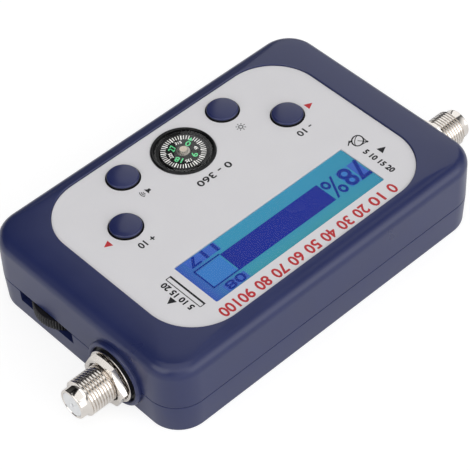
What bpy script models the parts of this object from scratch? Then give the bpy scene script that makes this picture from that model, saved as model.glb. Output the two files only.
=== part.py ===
"""Satellite signal meter: a hand-held box with a display, a compass, four buttons, a side thumbwheel and two F
connectors. Metres, +Z up out of the face, +X towards the receiver connector, +Y towards the display."""
from math import cos, pi, radians, sin, sqrt, tan

import bmesh
import bpy
from mathutils import Matrix

MM = 0.001

# Clearances shared by all pieces
SEAT_GAP = 0.3 * MM
FINE_GAP = 0.15 * MM
OVERRUN = 2.0 * MM
BURY = 0.5 * MM

# Case, both halves
CASE_LENGTH = 101.5 * MM
CASE_WIDTH = 67.2 * MM
CASE_CORNER_RADIUS = 8.6 * MM
WALL = 2.2 * MM
CORNER_STEPS = 6
SMALL_CORNER_STEPS = 2
SMALL_CORNER_LIMIT = 1.6 * MM

# Lower half
LOWER_RIM_Z = 8.7 * MM
FLOOR_THICKNESS = 2.0 * MM
BASE_DRAFT = 0.4 * MM
BASE_EDGE_RADIUS = 0.6 * MM
BASE_EDGE_STEPS = 2
LIP_HEIGHT = 1.5 * MM
LIP_THICKNESS = 0.9 * MM

# Upper half
FACE_Z = 22.05 * MM
RIM_RISE = 0.45 * MM
CROWN_RISE = 0.66 * MM
TOP_FILLET = 3.4 * MM
FILLET_SWEEP = radians(80.0)
FILLET_STEPS = 4
CROWN_STEPS = 2

# Face label
FACE_MARGIN_X = 10.4 * MM
FACE_MARGIN_Y = 5.05 * MM
LABEL_CORNER_RADIUS = 13.4 * MM
LABEL_THICKNESS = 0.4 * MM

# Display
DISPLAY_EDGE_DISTANCE = 12.8 * MM
DISPLAY_LENGTH = 55.0 * MM
DISPLAY_WIDTH = 14.75 * MM
DISPLAY_CORNER_RADIUS = 0.4 * MM
GLASS_THICKNESS = 2.2 * MM
BACKLIGHT_THICKNESS = 3.0 * MM
FRAME_WALL = 1.2 * MM
FRAME_FLOOR = 1.2 * MM
FRAME_CORNER_RADIUS = 1.2 * MM
STRIP_END_INSET = 3.2 * MM
STRIP_WIDTH = 1.8 * MM
STRIP_CORNER_RADIUS = 0.2 * MM

# Circuit board
BOARD_BOTTOM_Z = 10.2 * MM
BOARD_THICKNESS = 1.6 * MM
BOARD_END_CLEARANCE = 2.0 * MM
BOARD_SIDE_CLEARANCE = 0.7 * MM
BOARD_CORNER_RADIUS = 3.0 * MM
BOARD_NOTCH_CLEARANCE = 0.8 * MM
CHIP_SIZE = 10.0 * MM
CHIP_HEIGHT = 1.4 * MM
CHIP_CORNER_RADIUS = 0.3 * MM
CHIP_X = 4.0 * MM
CHIP_Y = 6.0 * MM

# Case screws in the four corner posts
SCREW_POST_INSET_X = 7.3 * MM
SCREW_POST_INSET_Y = 7.3 * MM
LOWER_POST_RADIUS = 3.9 * MM
UPPER_POST_RADIUS = 3.5 * MM
CASE_SCREW_HEAD_RADIUS = 2.6 * MM
CASE_SCREW_HEAD_HEIGHT = 1.8 * MM
CASE_SCREW_RADIUS = 1.4 * MM
CASE_SCREW_LENGTH = 13.0 * MM
CASE_SCREW_RECESS = 3.4 * MM

# Board screws in posts under the top
BOARD_SCREW_END_INSET = 11.0 * MM
BOARD_SCREW_SIDE_INSET = 3.2 * MM
BOARD_POST_RADIUS = 2.7 * MM
BOARD_SCREW_HEAD_RADIUS = 2.2 * MM
BOARD_SCREW_HEAD_HEIGHT = 1.5 * MM
BOARD_SCREW_RADIUS = 1.0 * MM
BOARD_SCREW_LENGTH = 7.0 * MM
SCREW_HEAD_ROUND_SHARE = 0.35
SCREW_POINT_SHARE = 0.5
SCREW_TURN_STEPS = 12
POST_STEPS = 14

# Buttons and their switches
ATT_BUTTON_END_DISTANCE = 13.75 * MM
ATT_BUTTON_EDGE_DISTANCE = 19.2 * MM
LOWER_BUTTON_X = 16.4 * MM
LOWER_BUTTON_EDGE_DISTANCE = 6.55 * MM
BUTTON_HOLE_RADIUS = 4.4 * MM
BUTTON_GAP = 0.3 * MM
BUTTON_RISE = 1.15 * MM
BUTTON_DOME_RISE = 0.35 * MM
BUTTON_EDGE_RADIUS = 0.8 * MM
BUTTON_EDGE_STEPS = 2
BUTTON_FLANGE = 0.6 * MM
BUTTON_FLANGE_THICKNESS = 0.8 * MM
BUTTON_STEM_RADIUS = 1.8 * MM
BUTTON_TURN_STEPS = 20
SWITCH_SIZE = 6.0 * MM
SWITCH_HEIGHT = 3.5 * MM
SWITCH_CORNER_RADIUS = 0.5 * MM
PLUNGER_RADIUS = 1.6 * MM
PLUNGER_RISE = 1.0 * MM
PLUNGER_DEPTH = 1.6 * MM
BUTTON_TRAVEL = 0.4 * MM

# Compass
COMPASS_EDGE_DISTANCE = 10.15 * MM
COMPASS_RADIUS = 8.2 * MM
COMPASS_RISE = 0.9 * MM
COMPASS_HEIGHT = 5.6 * MM
COMPASS_RIM_ROUND = 0.3 * MM
LENS_RADIUS = 7.15 * MM
LENS_THICKNESS = 0.6 * MM
LENS_DOME = 0.5 * MM
LENS_DOME_STEPS = 3
COMPASS_BORE_RADIUS = 6.6 * MM
COMPASS_FLOOR = 1.1 * MM
CARD_RADIUS = 5.8 * MM
CARD_THICKNESS = 0.5 * MM
CARD_HOLE_RADIUS = 0.8 * MM
HUB_HEIGHT = 1.0 * MM
HUB_RADIUS = 1.15 * MM
HUB_FLANGE_RADIUS = 1.7 * MM
HUB_FLANGE_THICKNESS = 0.3 * MM
HUB_ROOF = 0.35 * MM
PIVOT_RADIUS = 0.35 * MM
PIVOT_BASE_RADIUS = 1.5 * MM
PIVOT_BASE_HEIGHT = 0.6 * MM
WELL_WALL = 1.5 * MM
WELL_FLOOR = 1.2 * MM
WELL_HOLE_RADIUS = 2.0 * MM
COMPASS_TURN_STEPS = 28

# Thumbwheel and its potentiometer
WHEEL_SIDE_DISTANCE = 21.1 * MM
WHEEL_RADIUS = 8.5 * MM
WHEEL_PROTRUSION = 1.4 * MM
WHEEL_THICKNESS = 3.0 * MM
WHEEL_DROP = 0.2 * MM
WHEEL_RIB_DEPTH = 0.35 * MM
WHEEL_RIBS = 72
WHEEL_DISH_SHARE = 0.8
WHEEL_DISH_DEPTH = 0.5 * MM
NOTCH_LENGTH = 19.2 * MM
NOTCH_OFFSET = 0.4 * MM
AXLE_RADIUS = 1.6 * MM
AXLE_HEAD_RADIUS = 2.8 * MM
AXLE_HEAD_HEIGHT = 0.8 * MM
POT_THICKNESS = 1.1 * MM
POT_LENGTH = 11.6 * MM
POT_WIDTH = 9.4 * MM
POT_CORNER_RADIUS = 1.5 * MM
POT_PIN_RADIUS = 0.4 * MM
POT_PIN_PITCH = 2.5 * MM
POT_PIN_INSET = 1.6 * MM
WHEEL_SWEEP = radians(270.0)

# Buzzer under the board
BUZZER_X = -18.0 * MM
BUZZER_Y = -8.0 * MM
BUZZER_RADIUS = 6.0 * MM
BUZZER_HEIGHT = 6.0 * MM
BUZZER_ROUND = 0.5 * MM
BUZZER_HOLE_RADIUS = 1.0 * MM
BUZZER_HOLE_DEPTH = 1.5 * MM

# F connectors, sizes along the axis measured outwards from the end wall
CONNECTOR_SIDE_DISTANCE = 20.05 * MM
CONNECTOR_THREAD_RADIUS = 4.72 * MM
CONNECTOR_REACH = 13.6 * MM
CONNECTOR_NOSE_LENGTH = 2.2 * MM
CONNECTOR_NOSE_RADIUS = 3.92 * MM
CONNECTOR_NOSE_CHAMFER = 0.3 * MM
CONNECTOR_BORE_RADIUS = 3.2 * MM
CONNECTOR_FLANGE_ACROSS_FLATS = 11.0 * MM
CONNECTOR_FLANGE_THICKNESS = 2.0 * MM
CONNECTOR_TAIL_RADIUS = 4.2 * MM
CONNECTOR_TAIL_LENGTH = 3.0 * MM
THREAD_RUNOUT = 0.35 * MM
CONNECTOR_TURN_STEPS = 24
HUB_FACE = 1.4 * MM
HUB_FACE_RADIUS = 6.2 * MM
COLLAR_GROOVE_RADIUS = 7.4 * MM
COLLAR_RADIUS = 8.7 * MM
COLLAR_HEIGHT = 1.3 * MM
COLLAR_GROOVE_FLOOR = 0.2 * MM
COLLAR_STEPS = 4
WASHER_RADIUS = 6.95 * MM
WASHER_THICKNESS = 0.3 * MM
LOCK_WASHER_RADIUS = 6.6 * MM
LOCK_WASHER_ROOT_RADIUS = 6.0 * MM
LOCK_WASHER_TEETH = 20
NUT_ACROSS_FLATS = 12.2 * MM
NUT_THICKNESS = 1.7 * MM
NUT_CHAMFER = 0.45 * MM
RECEIVER_NUT_TURN = radians(33.0)
SATELLITE_NUT_TURN = radians(18.0)
INSULATOR_RECESS = 0.15 * MM
INSULATOR_FRONT = 1.2 * MM
SOCKET_HOLE_RADIUS = 0.6 * MM
CONTACT_RADIUS = 1.1 * MM
CONTACT_BORE_RADIUS = 0.5 * MM
CONTACT_BORE_DEPTH = 6.0 * MM
CONTACT_WIRE_RADIUS = 0.4 * MM
CONTACT_WIRE_REACH = 2.6 * MM
BEND_STEPS = 3

# Sizes that follow from those above
PARTING_GAP = SEAT_GAP
UPPER_RIM_Z = LOWER_RIM_Z + PARTING_GAP
PARTING_Z = (LOWER_RIM_Z + UPPER_RIM_Z) / 2
LIP_TOP_Z = LOWER_RIM_Z + LIP_HEIGHT
RIM_TOP_Z = FACE_Z + RIM_RISE
RECESS_FLOOR_Z = FACE_Z - LABEL_THICKNESS - SEAT_GAP
CEILING_Z = RECESS_FLOOR_Z - WALL
CAVITY_LENGTH = CASE_LENGTH - 2 * WALL
CAVITY_WIDTH = CASE_WIDTH - 2 * WALL
CAVITY_CORNER_RADIUS = CASE_CORNER_RADIUS - WALL
END_WALL_X = CASE_LENGTH / 2
LABEL_LENGTH = CASE_LENGTH - 2 * FACE_MARGIN_X
LABEL_WIDTH = CASE_WIDTH - 2 * FACE_MARGIN_Y
RECESS_LENGTH = LABEL_LENGTH + 2 * SEAT_GAP
RECESS_WIDTH = LABEL_WIDTH + 2 * SEAT_GAP
RECESS_CORNER_RADIUS = LABEL_CORNER_RADIUS + SEAT_GAP
DISPLAY_Y = LABEL_WIDTH / 2 - DISPLAY_EDGE_DISTANCE
BOARD_LENGTH = CAVITY_LENGTH - 2 * BOARD_END_CLEARANCE
BOARD_WIDTH = CAVITY_WIDTH - 2 * BOARD_SIDE_CLEARANCE
BOARD_SCREW_X = BOARD_LENGTH / 2 - BOARD_SCREW_END_INSET
BOARD_SCREW_Y = BOARD_WIDTH / 2 - BOARD_SCREW_SIDE_INSET
ATT_BUTTON_X = LABEL_LENGTH / 2 - ATT_BUTTON_END_DISTANCE
ATT_BUTTON_Y = ATT_BUTTON_EDGE_DISTANCE - LABEL_WIDTH / 2
LOWER_BUTTON_Y = LOWER_BUTTON_EDGE_DISTANCE - LABEL_WIDTH / 2
COMPASS_Y = COMPASS_EDGE_DISTANCE - LABEL_WIDTH / 2
WHEEL_Y = WHEEL_SIDE_DISTANCE - CASE_WIDTH / 2
CONNECTOR_Y = CASE_WIDTH / 2 - CONNECTOR_SIDE_DISTANCE
CONNECTOR_FLANGE_RADIUS = CONNECTOR_FLANGE_ACROSS_FLATS / sqrt(3)
BOARD_TOP_Z = BOARD_BOTTOM_Z + BOARD_THICKNESS
SCREW_POST_X = CAVITY_LENGTH / 2 - SCREW_POST_INSET_X + WALL
SCREW_POST_Y = CAVITY_WIDTH / 2 - SCREW_POST_INSET_Y + WALL
CASE_SCREW_SEAT_Z = CASE_SCREW_RECESS
BOARD_POST_BOTTOM_Z = BOARD_TOP_Z + SEAT_GAP
GLASS_LENGTH = DISPLAY_LENGTH - 2 * SEAT_GAP
GLASS_WIDTH = DISPLAY_WIDTH - 2 * SEAT_GAP
STRIP_LENGTH = GLASS_LENGTH - 2 * STRIP_END_INSET
GLASS_TOP_Z = RECESS_FLOOR_Z
GLASS_BOTTOM_Z = GLASS_TOP_Z - GLASS_THICKNESS
BACKLIGHT_TOP_Z = GLASS_BOTTOM_Z - SEAT_GAP
BACKLIGHT_BOTTOM_Z = BACKLIGHT_TOP_Z - BACKLIGHT_THICKNESS
BACKLIGHT_WIDTH = GLASS_WIDTH - STRIP_WIDTH - SEAT_GAP
FRAME_TOP_Z = CEILING_Z - SEAT_GAP
FRAME_SEAT_Z = BACKLIGHT_BOTTOM_Z - SEAT_GAP
STRIP_Y = DISPLAY_Y - GLASS_WIDTH / 2 + STRIP_WIDTH / 2
BACKLIGHT_Y = DISPLAY_Y + GLASS_WIDTH / 2 - BACKLIGHT_WIDTH / 2
BUTTON_RADIUS = BUTTON_HOLE_RADIUS - BUTTON_GAP
BUTTON_TOP_Z = FACE_Z + BUTTON_RISE
BUTTON_FLANGE_TOP_Z = CEILING_Z - SEAT_GAP
SWITCH_BOTTOM_Z = BOARD_TOP_Z + SEAT_GAP
SWITCH_TOP_Z = SWITCH_BOTTOM_Z + SWITCH_HEIGHT
PLUNGER_TOP_Z = SWITCH_TOP_Z + PLUNGER_RISE
PLUNGER_BOTTOM_Z = SWITCH_TOP_Z - PLUNGER_DEPTH
BUTTON_BOTTOM_Z = PLUNGER_TOP_Z + SEAT_GAP
COMPASS_TOP_Z = FACE_Z + COMPASS_RISE
COMPASS_BOTTOM_Z = COMPASS_TOP_Z - COMPASS_HEIGHT
COMPASS_HOLE_RADIUS = COMPASS_RADIUS + SEAT_GAP
LENS_EDGE_TOP_Z = COMPASS_TOP_Z - FINE_GAP
LENS_SEAT_Z = LENS_EDGE_TOP_Z - LENS_THICKNESS - FINE_GAP
HUB_TOP_Z = LENS_EDGE_TOP_Z - LENS_THICKNESS + LENS_DOME - SEAT_GAP
CARD_TOP_Z = HUB_TOP_Z - HUB_HEIGHT
WELL_FLOOR_Z = COMPASS_BOTTOM_Z - SEAT_GAP
WHEEL_X = END_WALL_X + WHEEL_PROTRUSION - WHEEL_RADIUS
WHEEL_TOP_Z = LOWER_RIM_Z - WHEEL_DROP
WHEEL_BOTTOM_Z = WHEEL_TOP_Z - WHEEL_THICKNESS
NOTCH_FLOOR_Z = WHEEL_BOTTOM_Z - SEAT_GAP
NOTCH_Y = WHEEL_Y + NOTCH_OFFSET
POT_TOP_Z = BOARD_BOTTOM_Z - SEAT_GAP
POT_BOTTOM_Z = POT_TOP_Z - POT_THICKNESS
POT_X = CAVITY_LENGTH / 2 - SEAT_GAP - POT_LENGTH / 2
WASHER_FACE = HUB_FACE + SEAT_GAP
LOCK_WASHER_FACE = WASHER_FACE + WASHER_THICKNESS + FINE_GAP
NUT_FACE = LOCK_WASHER_FACE + WASHER_THICKNESS + FINE_GAP
NUT_TOP = NUT_FACE + NUT_THICKNESS
CONNECTOR_HOLE_RADIUS = CONNECTOR_THREAD_RADIUS + SEAT_GAP
FLANGE_TOP = -WALL - SEAT_GAP
FLANGE_BOTTOM = FLANGE_TOP - CONNECTOR_FLANGE_THICKNESS
TAIL_END = FLANGE_BOTTOM - CONNECTOR_TAIL_LENGTH
INSULATOR_RADIUS = CONNECTOR_BORE_RADIUS - SEAT_GAP
INSULATOR_TOP = CONNECTOR_REACH - INSULATOR_RECESS
CONTACT_TOP = INSULATOR_TOP - INSULATOR_FRONT - SEAT_GAP
WIRE_END = TAIL_END - CONTACT_WIRE_REACH

BUTTON_PLACES = {
    "att_receiver": (ATT_BUTTON_X, ATT_BUTTON_Y),
    "att_satellite": (-ATT_BUTTON_X, ATT_BUTTON_Y),
    "light": (-LOWER_BUTTON_X, LOWER_BUTTON_Y),
    "buzzer": (LOWER_BUTTON_X, LOWER_BUTTON_Y),
}
CASE_SCREW_PLACES = [(sx * SCREW_POST_X, sy * SCREW_POST_Y) for sy in (-1, 1) for sx in (-1, 1)]
BOARD_SCREW_PLACES = [(sx * BOARD_SCREW_X, sy * BOARD_SCREW_Y) for sy in (-1, 1) for sx in (-1, 1)]
POT_PIN_PLACES = [(POT_X - POT_LENGTH / 2 + POT_PIN_INSET, WHEEL_Y + k * POT_PIN_PITCH) for k in (-1, 0, 1)]


def clear_scene():
    for item in list(bpy.data.objects):
        bpy.data.objects.remove(item, do_unlink=True)


def new_collection(name):
    collection = bpy.data.collections.new(name)
    bpy.context.scene.collection.children.link(collection)
    return collection


clear_scene()
PARTS = new_collection("satellite_signal_meter")
CUTTERS = new_collection("cutters")


def material(name, colour, roughness, metallic=0.0, transmission=0.0):
    made = bpy.data.materials.new(name)
    made.use_nodes = True
    shader = made.node_tree.nodes["Principled BSDF"]
    shader.inputs["Base Color"].default_value = (*colour, 1.0)
    shader.inputs["Roughness"].default_value = roughness
    shader.inputs["Metallic"].default_value = metallic
    shader.inputs["Transmission Weight"].default_value = transmission
    made.diffuse_color = (*colour, 1.0)
    return made


NAVY = material("navy_plastic", (0.045, 0.05, 0.13), 0.45)
LABEL_GREY = material("label_film", (0.62, 0.63, 0.65), 0.4)
CLEAR = material("clear_plastic", (0.95, 0.97, 1.0), 0.05, transmission=1.0)
DISPLAY_BLUE = material("display_blue", (0.06, 0.28, 0.48), 0.1)
LIGHT_GUIDE = material("light_guide", (0.85, 0.88, 0.9), 0.3)
FRAME_BLACK = material("frame_black", (0.02, 0.02, 0.022), 0.5)
RUBBER = material("contact_rubber", (0.05, 0.05, 0.05), 0.8)
BOARD_GREEN = material("board_green", (0.02, 0.16, 0.06), 0.4)
CHIP_BLACK = material("chip_black", (0.015, 0.015, 0.015), 0.35)
WHEEL_BLACK = material("wheel_black", (0.03, 0.03, 0.03), 0.55)
NICKEL = material("nickel_plate", (0.72, 0.67, 0.6), 0.22, metallic=1.0)
BRASS = material("brass", (0.7, 0.5, 0.22), 0.3, metallic=1.0)
STEEL = material("screw_steel", (0.5, 0.5, 0.52), 0.3, metallic=1.0)
INSULATOR_WHITE = material("insulator_white", (0.85, 0.85, 0.83), 0.4)


def add_object(name, mesh, paint=None):
    """A piece when it has a paint, otherwise a cutter or a shape to be joined."""
    made = bpy.data.objects.new(name, mesh)
    if paint:
        PARTS.objects.link(made)
        mesh.materials.append(paint)
    else:
        CUTTERS.objects.link(made)
        made.hide_render = True
        made.display_type = "WIRE"
    return made


def finish_mesh(shape, name, sharp_angle=radians(35.0)):
    mesh = bpy.data.meshes.new(name)
    shape.to_mesh(mesh)
    shape.free()
    mesh.shade_smooth()
    mesh.set_sharp_from_angle(angle=sharp_angle)
    return mesh


def rounded_ring(length, width, radius, z):
    """Points round a rectangle with rounded corners, counter-clockwise."""
    radius = min(radius, length / 2, width / 2)
    steps = CORNER_STEPS if radius > SMALL_CORNER_LIMIT else SMALL_CORNER_STEPS
    ring = []
    for quarter in range(4):
        sign_x = 1 if quarter in (0, 3) else -1
        sign_y = 1 if quarter in (0, 1) else -1
        for step in range(steps + 1):
            turn = (quarter + step / steps) * pi / 2
            ring.append((sign_x * (length / 2 - radius) + radius * cos(turn),
                         sign_y * (width / 2 - radius) + radius * sin(turn), z))
    return ring


def loft(name, sections, paint=None, place=(0, 0)):
    """A solid through rounded rectangles (length, width, corner radius, z), lowest first."""
    shape = bmesh.new()
    rings = [[shape.verts.new(point) for point in rounded_ring(*section)] for section in sections]
    count = len(rings[0])
    for low, high in zip(rings, rings[1:]):
        for k in range(count):
            shape.faces.new((low[k], low[(k + 1) % count], high[(k + 1) % count], high[k]))
    shape.faces.new(list(reversed(rings[0])))
    shape.faces.new(rings[-1])
    made = add_object(name, finish_mesh(shape, name), paint)
    made.location = (*place, 0)
    return made


def plate(name, length, width, radius, bottom, top, paint=None, place=(0, 0)):
    """A flat plate with rounded corners between two heights."""
    return loft(name, [(length, width, radius, bottom), (length, width, radius, top)], paint, place)


def cylinder(name, radius, bottom, top, place, steps=POST_STEPS):
    """An upright round cutter or post."""
    shape = bmesh.new()
    bmesh.ops.create_cone(shape, cap_ends=True, segments=steps, radius1=radius, radius2=radius, depth=top - bottom)
    made = add_object(name, finish_mesh(shape, name))
    made.location = (*place, (bottom + top) / 2)
    return made


def block(name, low, high):
    """A box-shaped cutter between two corners."""
    shape = bmesh.new()
    size = [b - a for a, b in zip(low, high)]
    middle = [(a + b) / 2 for a, b in zip(low, high)]
    bmesh.ops.create_cube(shape, size=1, matrix=Matrix.Diagonal((*size, 1)))
    made = add_object(name, finish_mesh(shape, name))
    made.location = middle
    return made


def turned(name, profile, paint=None, steps=CONNECTOR_TURN_STEPS, closed=False):
    """A solid of revolution about Z. The profile is (radius, z), down the outer side; closed for a ring."""
    edges = [(k, k + 1) for k in range(len(profile) - 1)]
    if closed:
        edges.append((len(profile) - 1, 0))
    mesh = bpy.data.meshes.new(name)
    mesh.from_pydata([(radius, 0, z) for radius, z in profile], edges, [])
    made = add_object(name, mesh, paint)
    screw = made.modifiers.new("turn", "SCREW")
    screw.angle = 2 * pi
    screw.steps = steps
    screw.render_steps = steps
    screw.use_merge_vertices = True
    screw.merge_threshold = FINE_GAP / 10
    screw.use_smooth_shade = True
    return made


def combine(piece, other, operation):
    step = piece.modifiers.new(other.name, "BOOLEAN")
    step.operation = operation
    step.object = other
    step.solver = "EXACT"


def cut(piece, *cutters):
    for cutter in cutters:
        combine(piece, cutter, "DIFFERENCE")


def join(piece, *additions):
    for addition in additions:
        combine(piece, addition, "UNION")


def toothed_prism(name, teeth, root_radius, tip_radius, bottom, top, paint):
    """A disc whose edge carries straight pointed teeth or ribs."""
    shape = bmesh.new()
    pitch = 2 * pi / teeth
    outline = []
    for tooth in range(teeth):
        for radius, share in ((root_radius, -1), (tip_radius, 0)):
            turn = pitch * (tooth + share / 2)
            outline.append(shape.verts.new((radius * cos(turn), radius * sin(turn), bottom)))
    face = shape.faces.new(outline)
    raised = bmesh.ops.extrude_face_region(shape, geom=[face])
    upper = [item for item in raised["geom"] if isinstance(item, bmesh.types.BMVert)]
    bmesh.ops.translate(shape, verts=upper, vec=(0, 0, top - bottom))
    bmesh.ops.recalc_face_normals(shape, faces=shape.faces)
    return add_object(name, finish_mesh(shape, name), paint)


def aim_outwards(piece, side):
    """Lays a shape turned about Z along the connector axis on one end wall."""
    piece.matrix_world = (Matrix.Translation((side * END_WALL_X, CONNECTOR_Y, PARTING_Z))
                          @ Matrix.Rotation(side * pi / 2, 4, "Y"))
    return piece


def connector_drill(side):
    drill = cylinder("connector_drill", CONNECTOR_HOLE_RADIUS, -WALL - OVERRUN, HUB_FACE + OVERRUN, (0, 0),
                     CONNECTOR_TURN_STEPS)
    middle = (HUB_FACE - WALL) / 2
    drill.matrix_world = (Matrix.Translation((side * (END_WALL_X + middle), CONNECTOR_Y, PARTING_Z))
                          @ Matrix.Rotation(side * pi / 2, 4, "Y"))
    return drill


def connector_boss(side):
    """The raised seat and the rounded collar round a connector, shared by the two case halves."""
    crest_radius = (COLLAR_RADIUS - COLLAR_GROOVE_RADIUS) / 2
    crest_middle = (COLLAR_RADIUS + COLLAR_GROOVE_RADIUS) / 2
    crest = [(crest_middle - crest_radius * cos(pi * k / COLLAR_STEPS),
              COLLAR_HEIGHT - crest_radius + crest_radius * sin(pi * k / COLLAR_STEPS))
             for k in range(COLLAR_STEPS + 1)]
    profile = [(0, HUB_FACE), (HUB_FACE_RADIUS, HUB_FACE), (HUB_FACE_RADIUS, COLLAR_GROOVE_FLOOR),
               (COLLAR_GROOVE_RADIUS, COLLAR_GROOVE_FLOOR), *crest, (COLLAR_RADIUS, -WALL / 2), (0, -WALL / 2)]
    return aim_outwards(turned("connector_boss", profile), side)


def case_section(inset, z):
    return (CASE_LENGTH - 2 * inset, CASE_WIDTH - 2 * inset, CASE_CORNER_RADIUS - inset, z)


def cavity(bottom, top):
    return plate("case_cavity", CAVITY_LENGTH, CAVITY_WIDTH, CAVITY_CORNER_RADIUS, bottom, top)


def make_upper_shell():
    wall_top = RIM_TOP_Z - CROWN_RISE - TOP_FILLET * sin(FILLET_SWEEP)
    sections = [case_section(0, UPPER_RIM_Z)]
    for step in range(FILLET_STEPS + 1):
        turn = FILLET_SWEEP * step / FILLET_STEPS
        sections.append(case_section(TOP_FILLET * (1 - cos(turn)), wall_top + TOP_FILLET * sin(turn)))
    start = sections[-1]
    rim = (RECESS_LENGTH, RECESS_WIDTH, RECESS_CORNER_RADIUS, RIM_TOP_Z)
    for step in range(1, CROWN_STEPS + 1):
        share = step / CROWN_STEPS
        sections.append(tuple(a + (b - a) * share for a, b in zip(start, rim)))
    shell = loft("upper_shell", sections, NAVY)
    join(shell, connector_boss(1), connector_boss(-1))
    half = block("below_parting", (-CASE_LENGTH, -CASE_WIDTH, -OVERRUN), (CASE_LENGTH, CASE_WIDTH, UPPER_RIM_Z))
    cut(shell, half, cavity(LOWER_RIM_Z, CEILING_Z))
    lip_room = LIP_THICKNESS + SEAT_GAP
    cut(shell, plate("lip_room", CAVITY_LENGTH + 2 * lip_room, CAVITY_WIDTH + 2 * lip_room,
                     CAVITY_CORNER_RADIUS + lip_room, LOWER_RIM_Z, LIP_TOP_Z + SEAT_GAP))
    for place in CASE_SCREW_PLACES:
        join(shell, cylinder("upper_post", UPPER_POST_RADIUS, UPPER_RIM_Z, CEILING_Z + BURY, place))
    for place in BOARD_SCREW_PLACES:
        join(shell, cylinder("board_post", BOARD_POST_RADIUS, BOARD_POST_BOTTOM_Z, CEILING_Z + BURY, place))
    join(shell, cylinder("compass_well", COMPASS_HOLE_RADIUS + WELL_WALL, WELL_FLOOR_Z - WELL_FLOOR,
                         CEILING_Z + BURY, (0, COMPASS_Y), COMPASS_TURN_STEPS))
    cut(shell, plate("label_recess", RECESS_LENGTH, RECESS_WIDTH, RECESS_CORNER_RADIUS, RECESS_FLOOR_Z,
                     RIM_TOP_Z + OVERRUN))
    cut(shell, plate("display_opening", DISPLAY_LENGTH, DISPLAY_WIDTH, DISPLAY_CORNER_RADIUS, CEILING_Z - OVERRUN,
                     FACE_Z, place=(0, DISPLAY_Y)))
    for place in BUTTON_PLACES.values():
        cut(shell, cylinder("button_hole", BUTTON_HOLE_RADIUS, CEILING_Z - OVERRUN, FACE_Z, place, BUTTON_TURN_STEPS))
    cut(shell, cylinder("compass_hole", COMPASS_HOLE_RADIUS, WELL_FLOOR_Z, FACE_Z, (0, COMPASS_Y),
                        COMPASS_TURN_STEPS))
    cut(shell, cylinder("well_hole", WELL_HOLE_RADIUS, WELL_FLOOR_Z - WELL_FLOOR - OVERRUN, FACE_Z, (0, COMPASS_Y)))
    screw_top = CASE_SCREW_SEAT_Z - SEAT_GAP + CASE_SCREW_LENGTH
    for place in CASE_SCREW_PLACES:
        cut(shell, cylinder("upper_post_bore", CASE_SCREW_RADIUS + SEAT_GAP, LOWER_RIM_Z, screw_top + SEAT_GAP, place))
    board_screw_top = BOARD_BOTTOM_Z - SEAT_GAP + BOARD_SCREW_LENGTH
    for place in BOARD_SCREW_PLACES:
        cut(shell, cylinder("board_post_bore", BOARD_SCREW_RADIUS + SEAT_GAP, BOARD_TOP_Z,
                            board_screw_top + SEAT_GAP, place))
    cut(shell, connector_drill(1), connector_drill(-1))
    return shell


def make_lower_shell():
    sections = []
    for step in range(BASE_EDGE_STEPS + 1):
        turn = pi / 2 * step / BASE_EDGE_STEPS
        sections.append(case_section(BASE_DRAFT + BASE_EDGE_RADIUS * (1 - sin(turn)),
                                     BASE_EDGE_RADIUS * (1 - cos(turn))))
    sections.append(case_section(0, LOWER_RIM_Z))
    shell = loft("lower_shell", sections, NAVY)
    join(shell, connector_boss(1), connector_boss(-1))
    cut(shell, block("above_parting", (-CASE_LENGTH, -CASE_WIDTH, LOWER_RIM_Z), (CASE_LENGTH, CASE_WIDTH, FACE_Z)))
    cut(shell, block("below_base", (-CASE_LENGTH, -CASE_WIDTH, -FACE_Z), (CASE_LENGTH, CASE_WIDTH, 0)))
    join(shell, plate("lip", CAVITY_LENGTH + 2 * LIP_THICKNESS, CAVITY_WIDTH + 2 * LIP_THICKNESS,
                      CAVITY_CORNER_RADIUS + LIP_THICKNESS, LOWER_RIM_Z - BURY, LIP_TOP_Z))
    cut(shell, cavity(FLOOR_THICKNESS, LIP_TOP_Z + OVERRUN))
    for place in CASE_SCREW_PLACES:
        join(shell, cylinder("lower_post", LOWER_POST_RADIUS, FLOOR_THICKNESS - BURY, LOWER_RIM_Z, place))
    for place in CASE_SCREW_PLACES:
        cut(shell, cylinder("screw_recess", CASE_SCREW_HEAD_RADIUS + SEAT_GAP, -OVERRUN, CASE_SCREW_SEAT_Z, place))
        cut(shell, cylinder("lower_post_bore", CASE_SCREW_RADIUS + SEAT_GAP, 0, LIP_TOP_Z, place))
    cut(shell, connector_drill(1), connector_drill(-1))
    half_notch = NOTCH_LENGTH / 2
    cut(shell, block("wheel_notch", (CAVITY_LENGTH / 2 - OVERRUN, NOTCH_Y - half_notch, NOTCH_FLOOR_Z),
                     (END_WALL_X + OVERRUN, NOTCH_Y + half_notch, FACE_Z)))
    return shell


def make_face():
    label = plate("face_label", LABEL_LENGTH, LABEL_WIDTH, LABEL_CORNER_RADIUS, FACE_Z - LABEL_THICKNESS, FACE_Z,
                  LABEL_GREY)
    low, high = FACE_Z - LABEL_THICKNESS - OVERRUN, FACE_Z + OVERRUN
    cut(label, plate("label_window", DISPLAY_LENGTH, DISPLAY_WIDTH, DISPLAY_CORNER_RADIUS, low, high,
                     place=(0, DISPLAY_Y)))
    for place in BUTTON_PLACES.values():
        cut(label, cylinder("label_button_hole", BUTTON_HOLE_RADIUS, low, high, place, BUTTON_TURN_STEPS))
    cut(label, cylinder("label_compass_hole", COMPASS_HOLE_RADIUS, low, high, (0, COMPASS_Y), COMPASS_TURN_STEPS))


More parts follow.
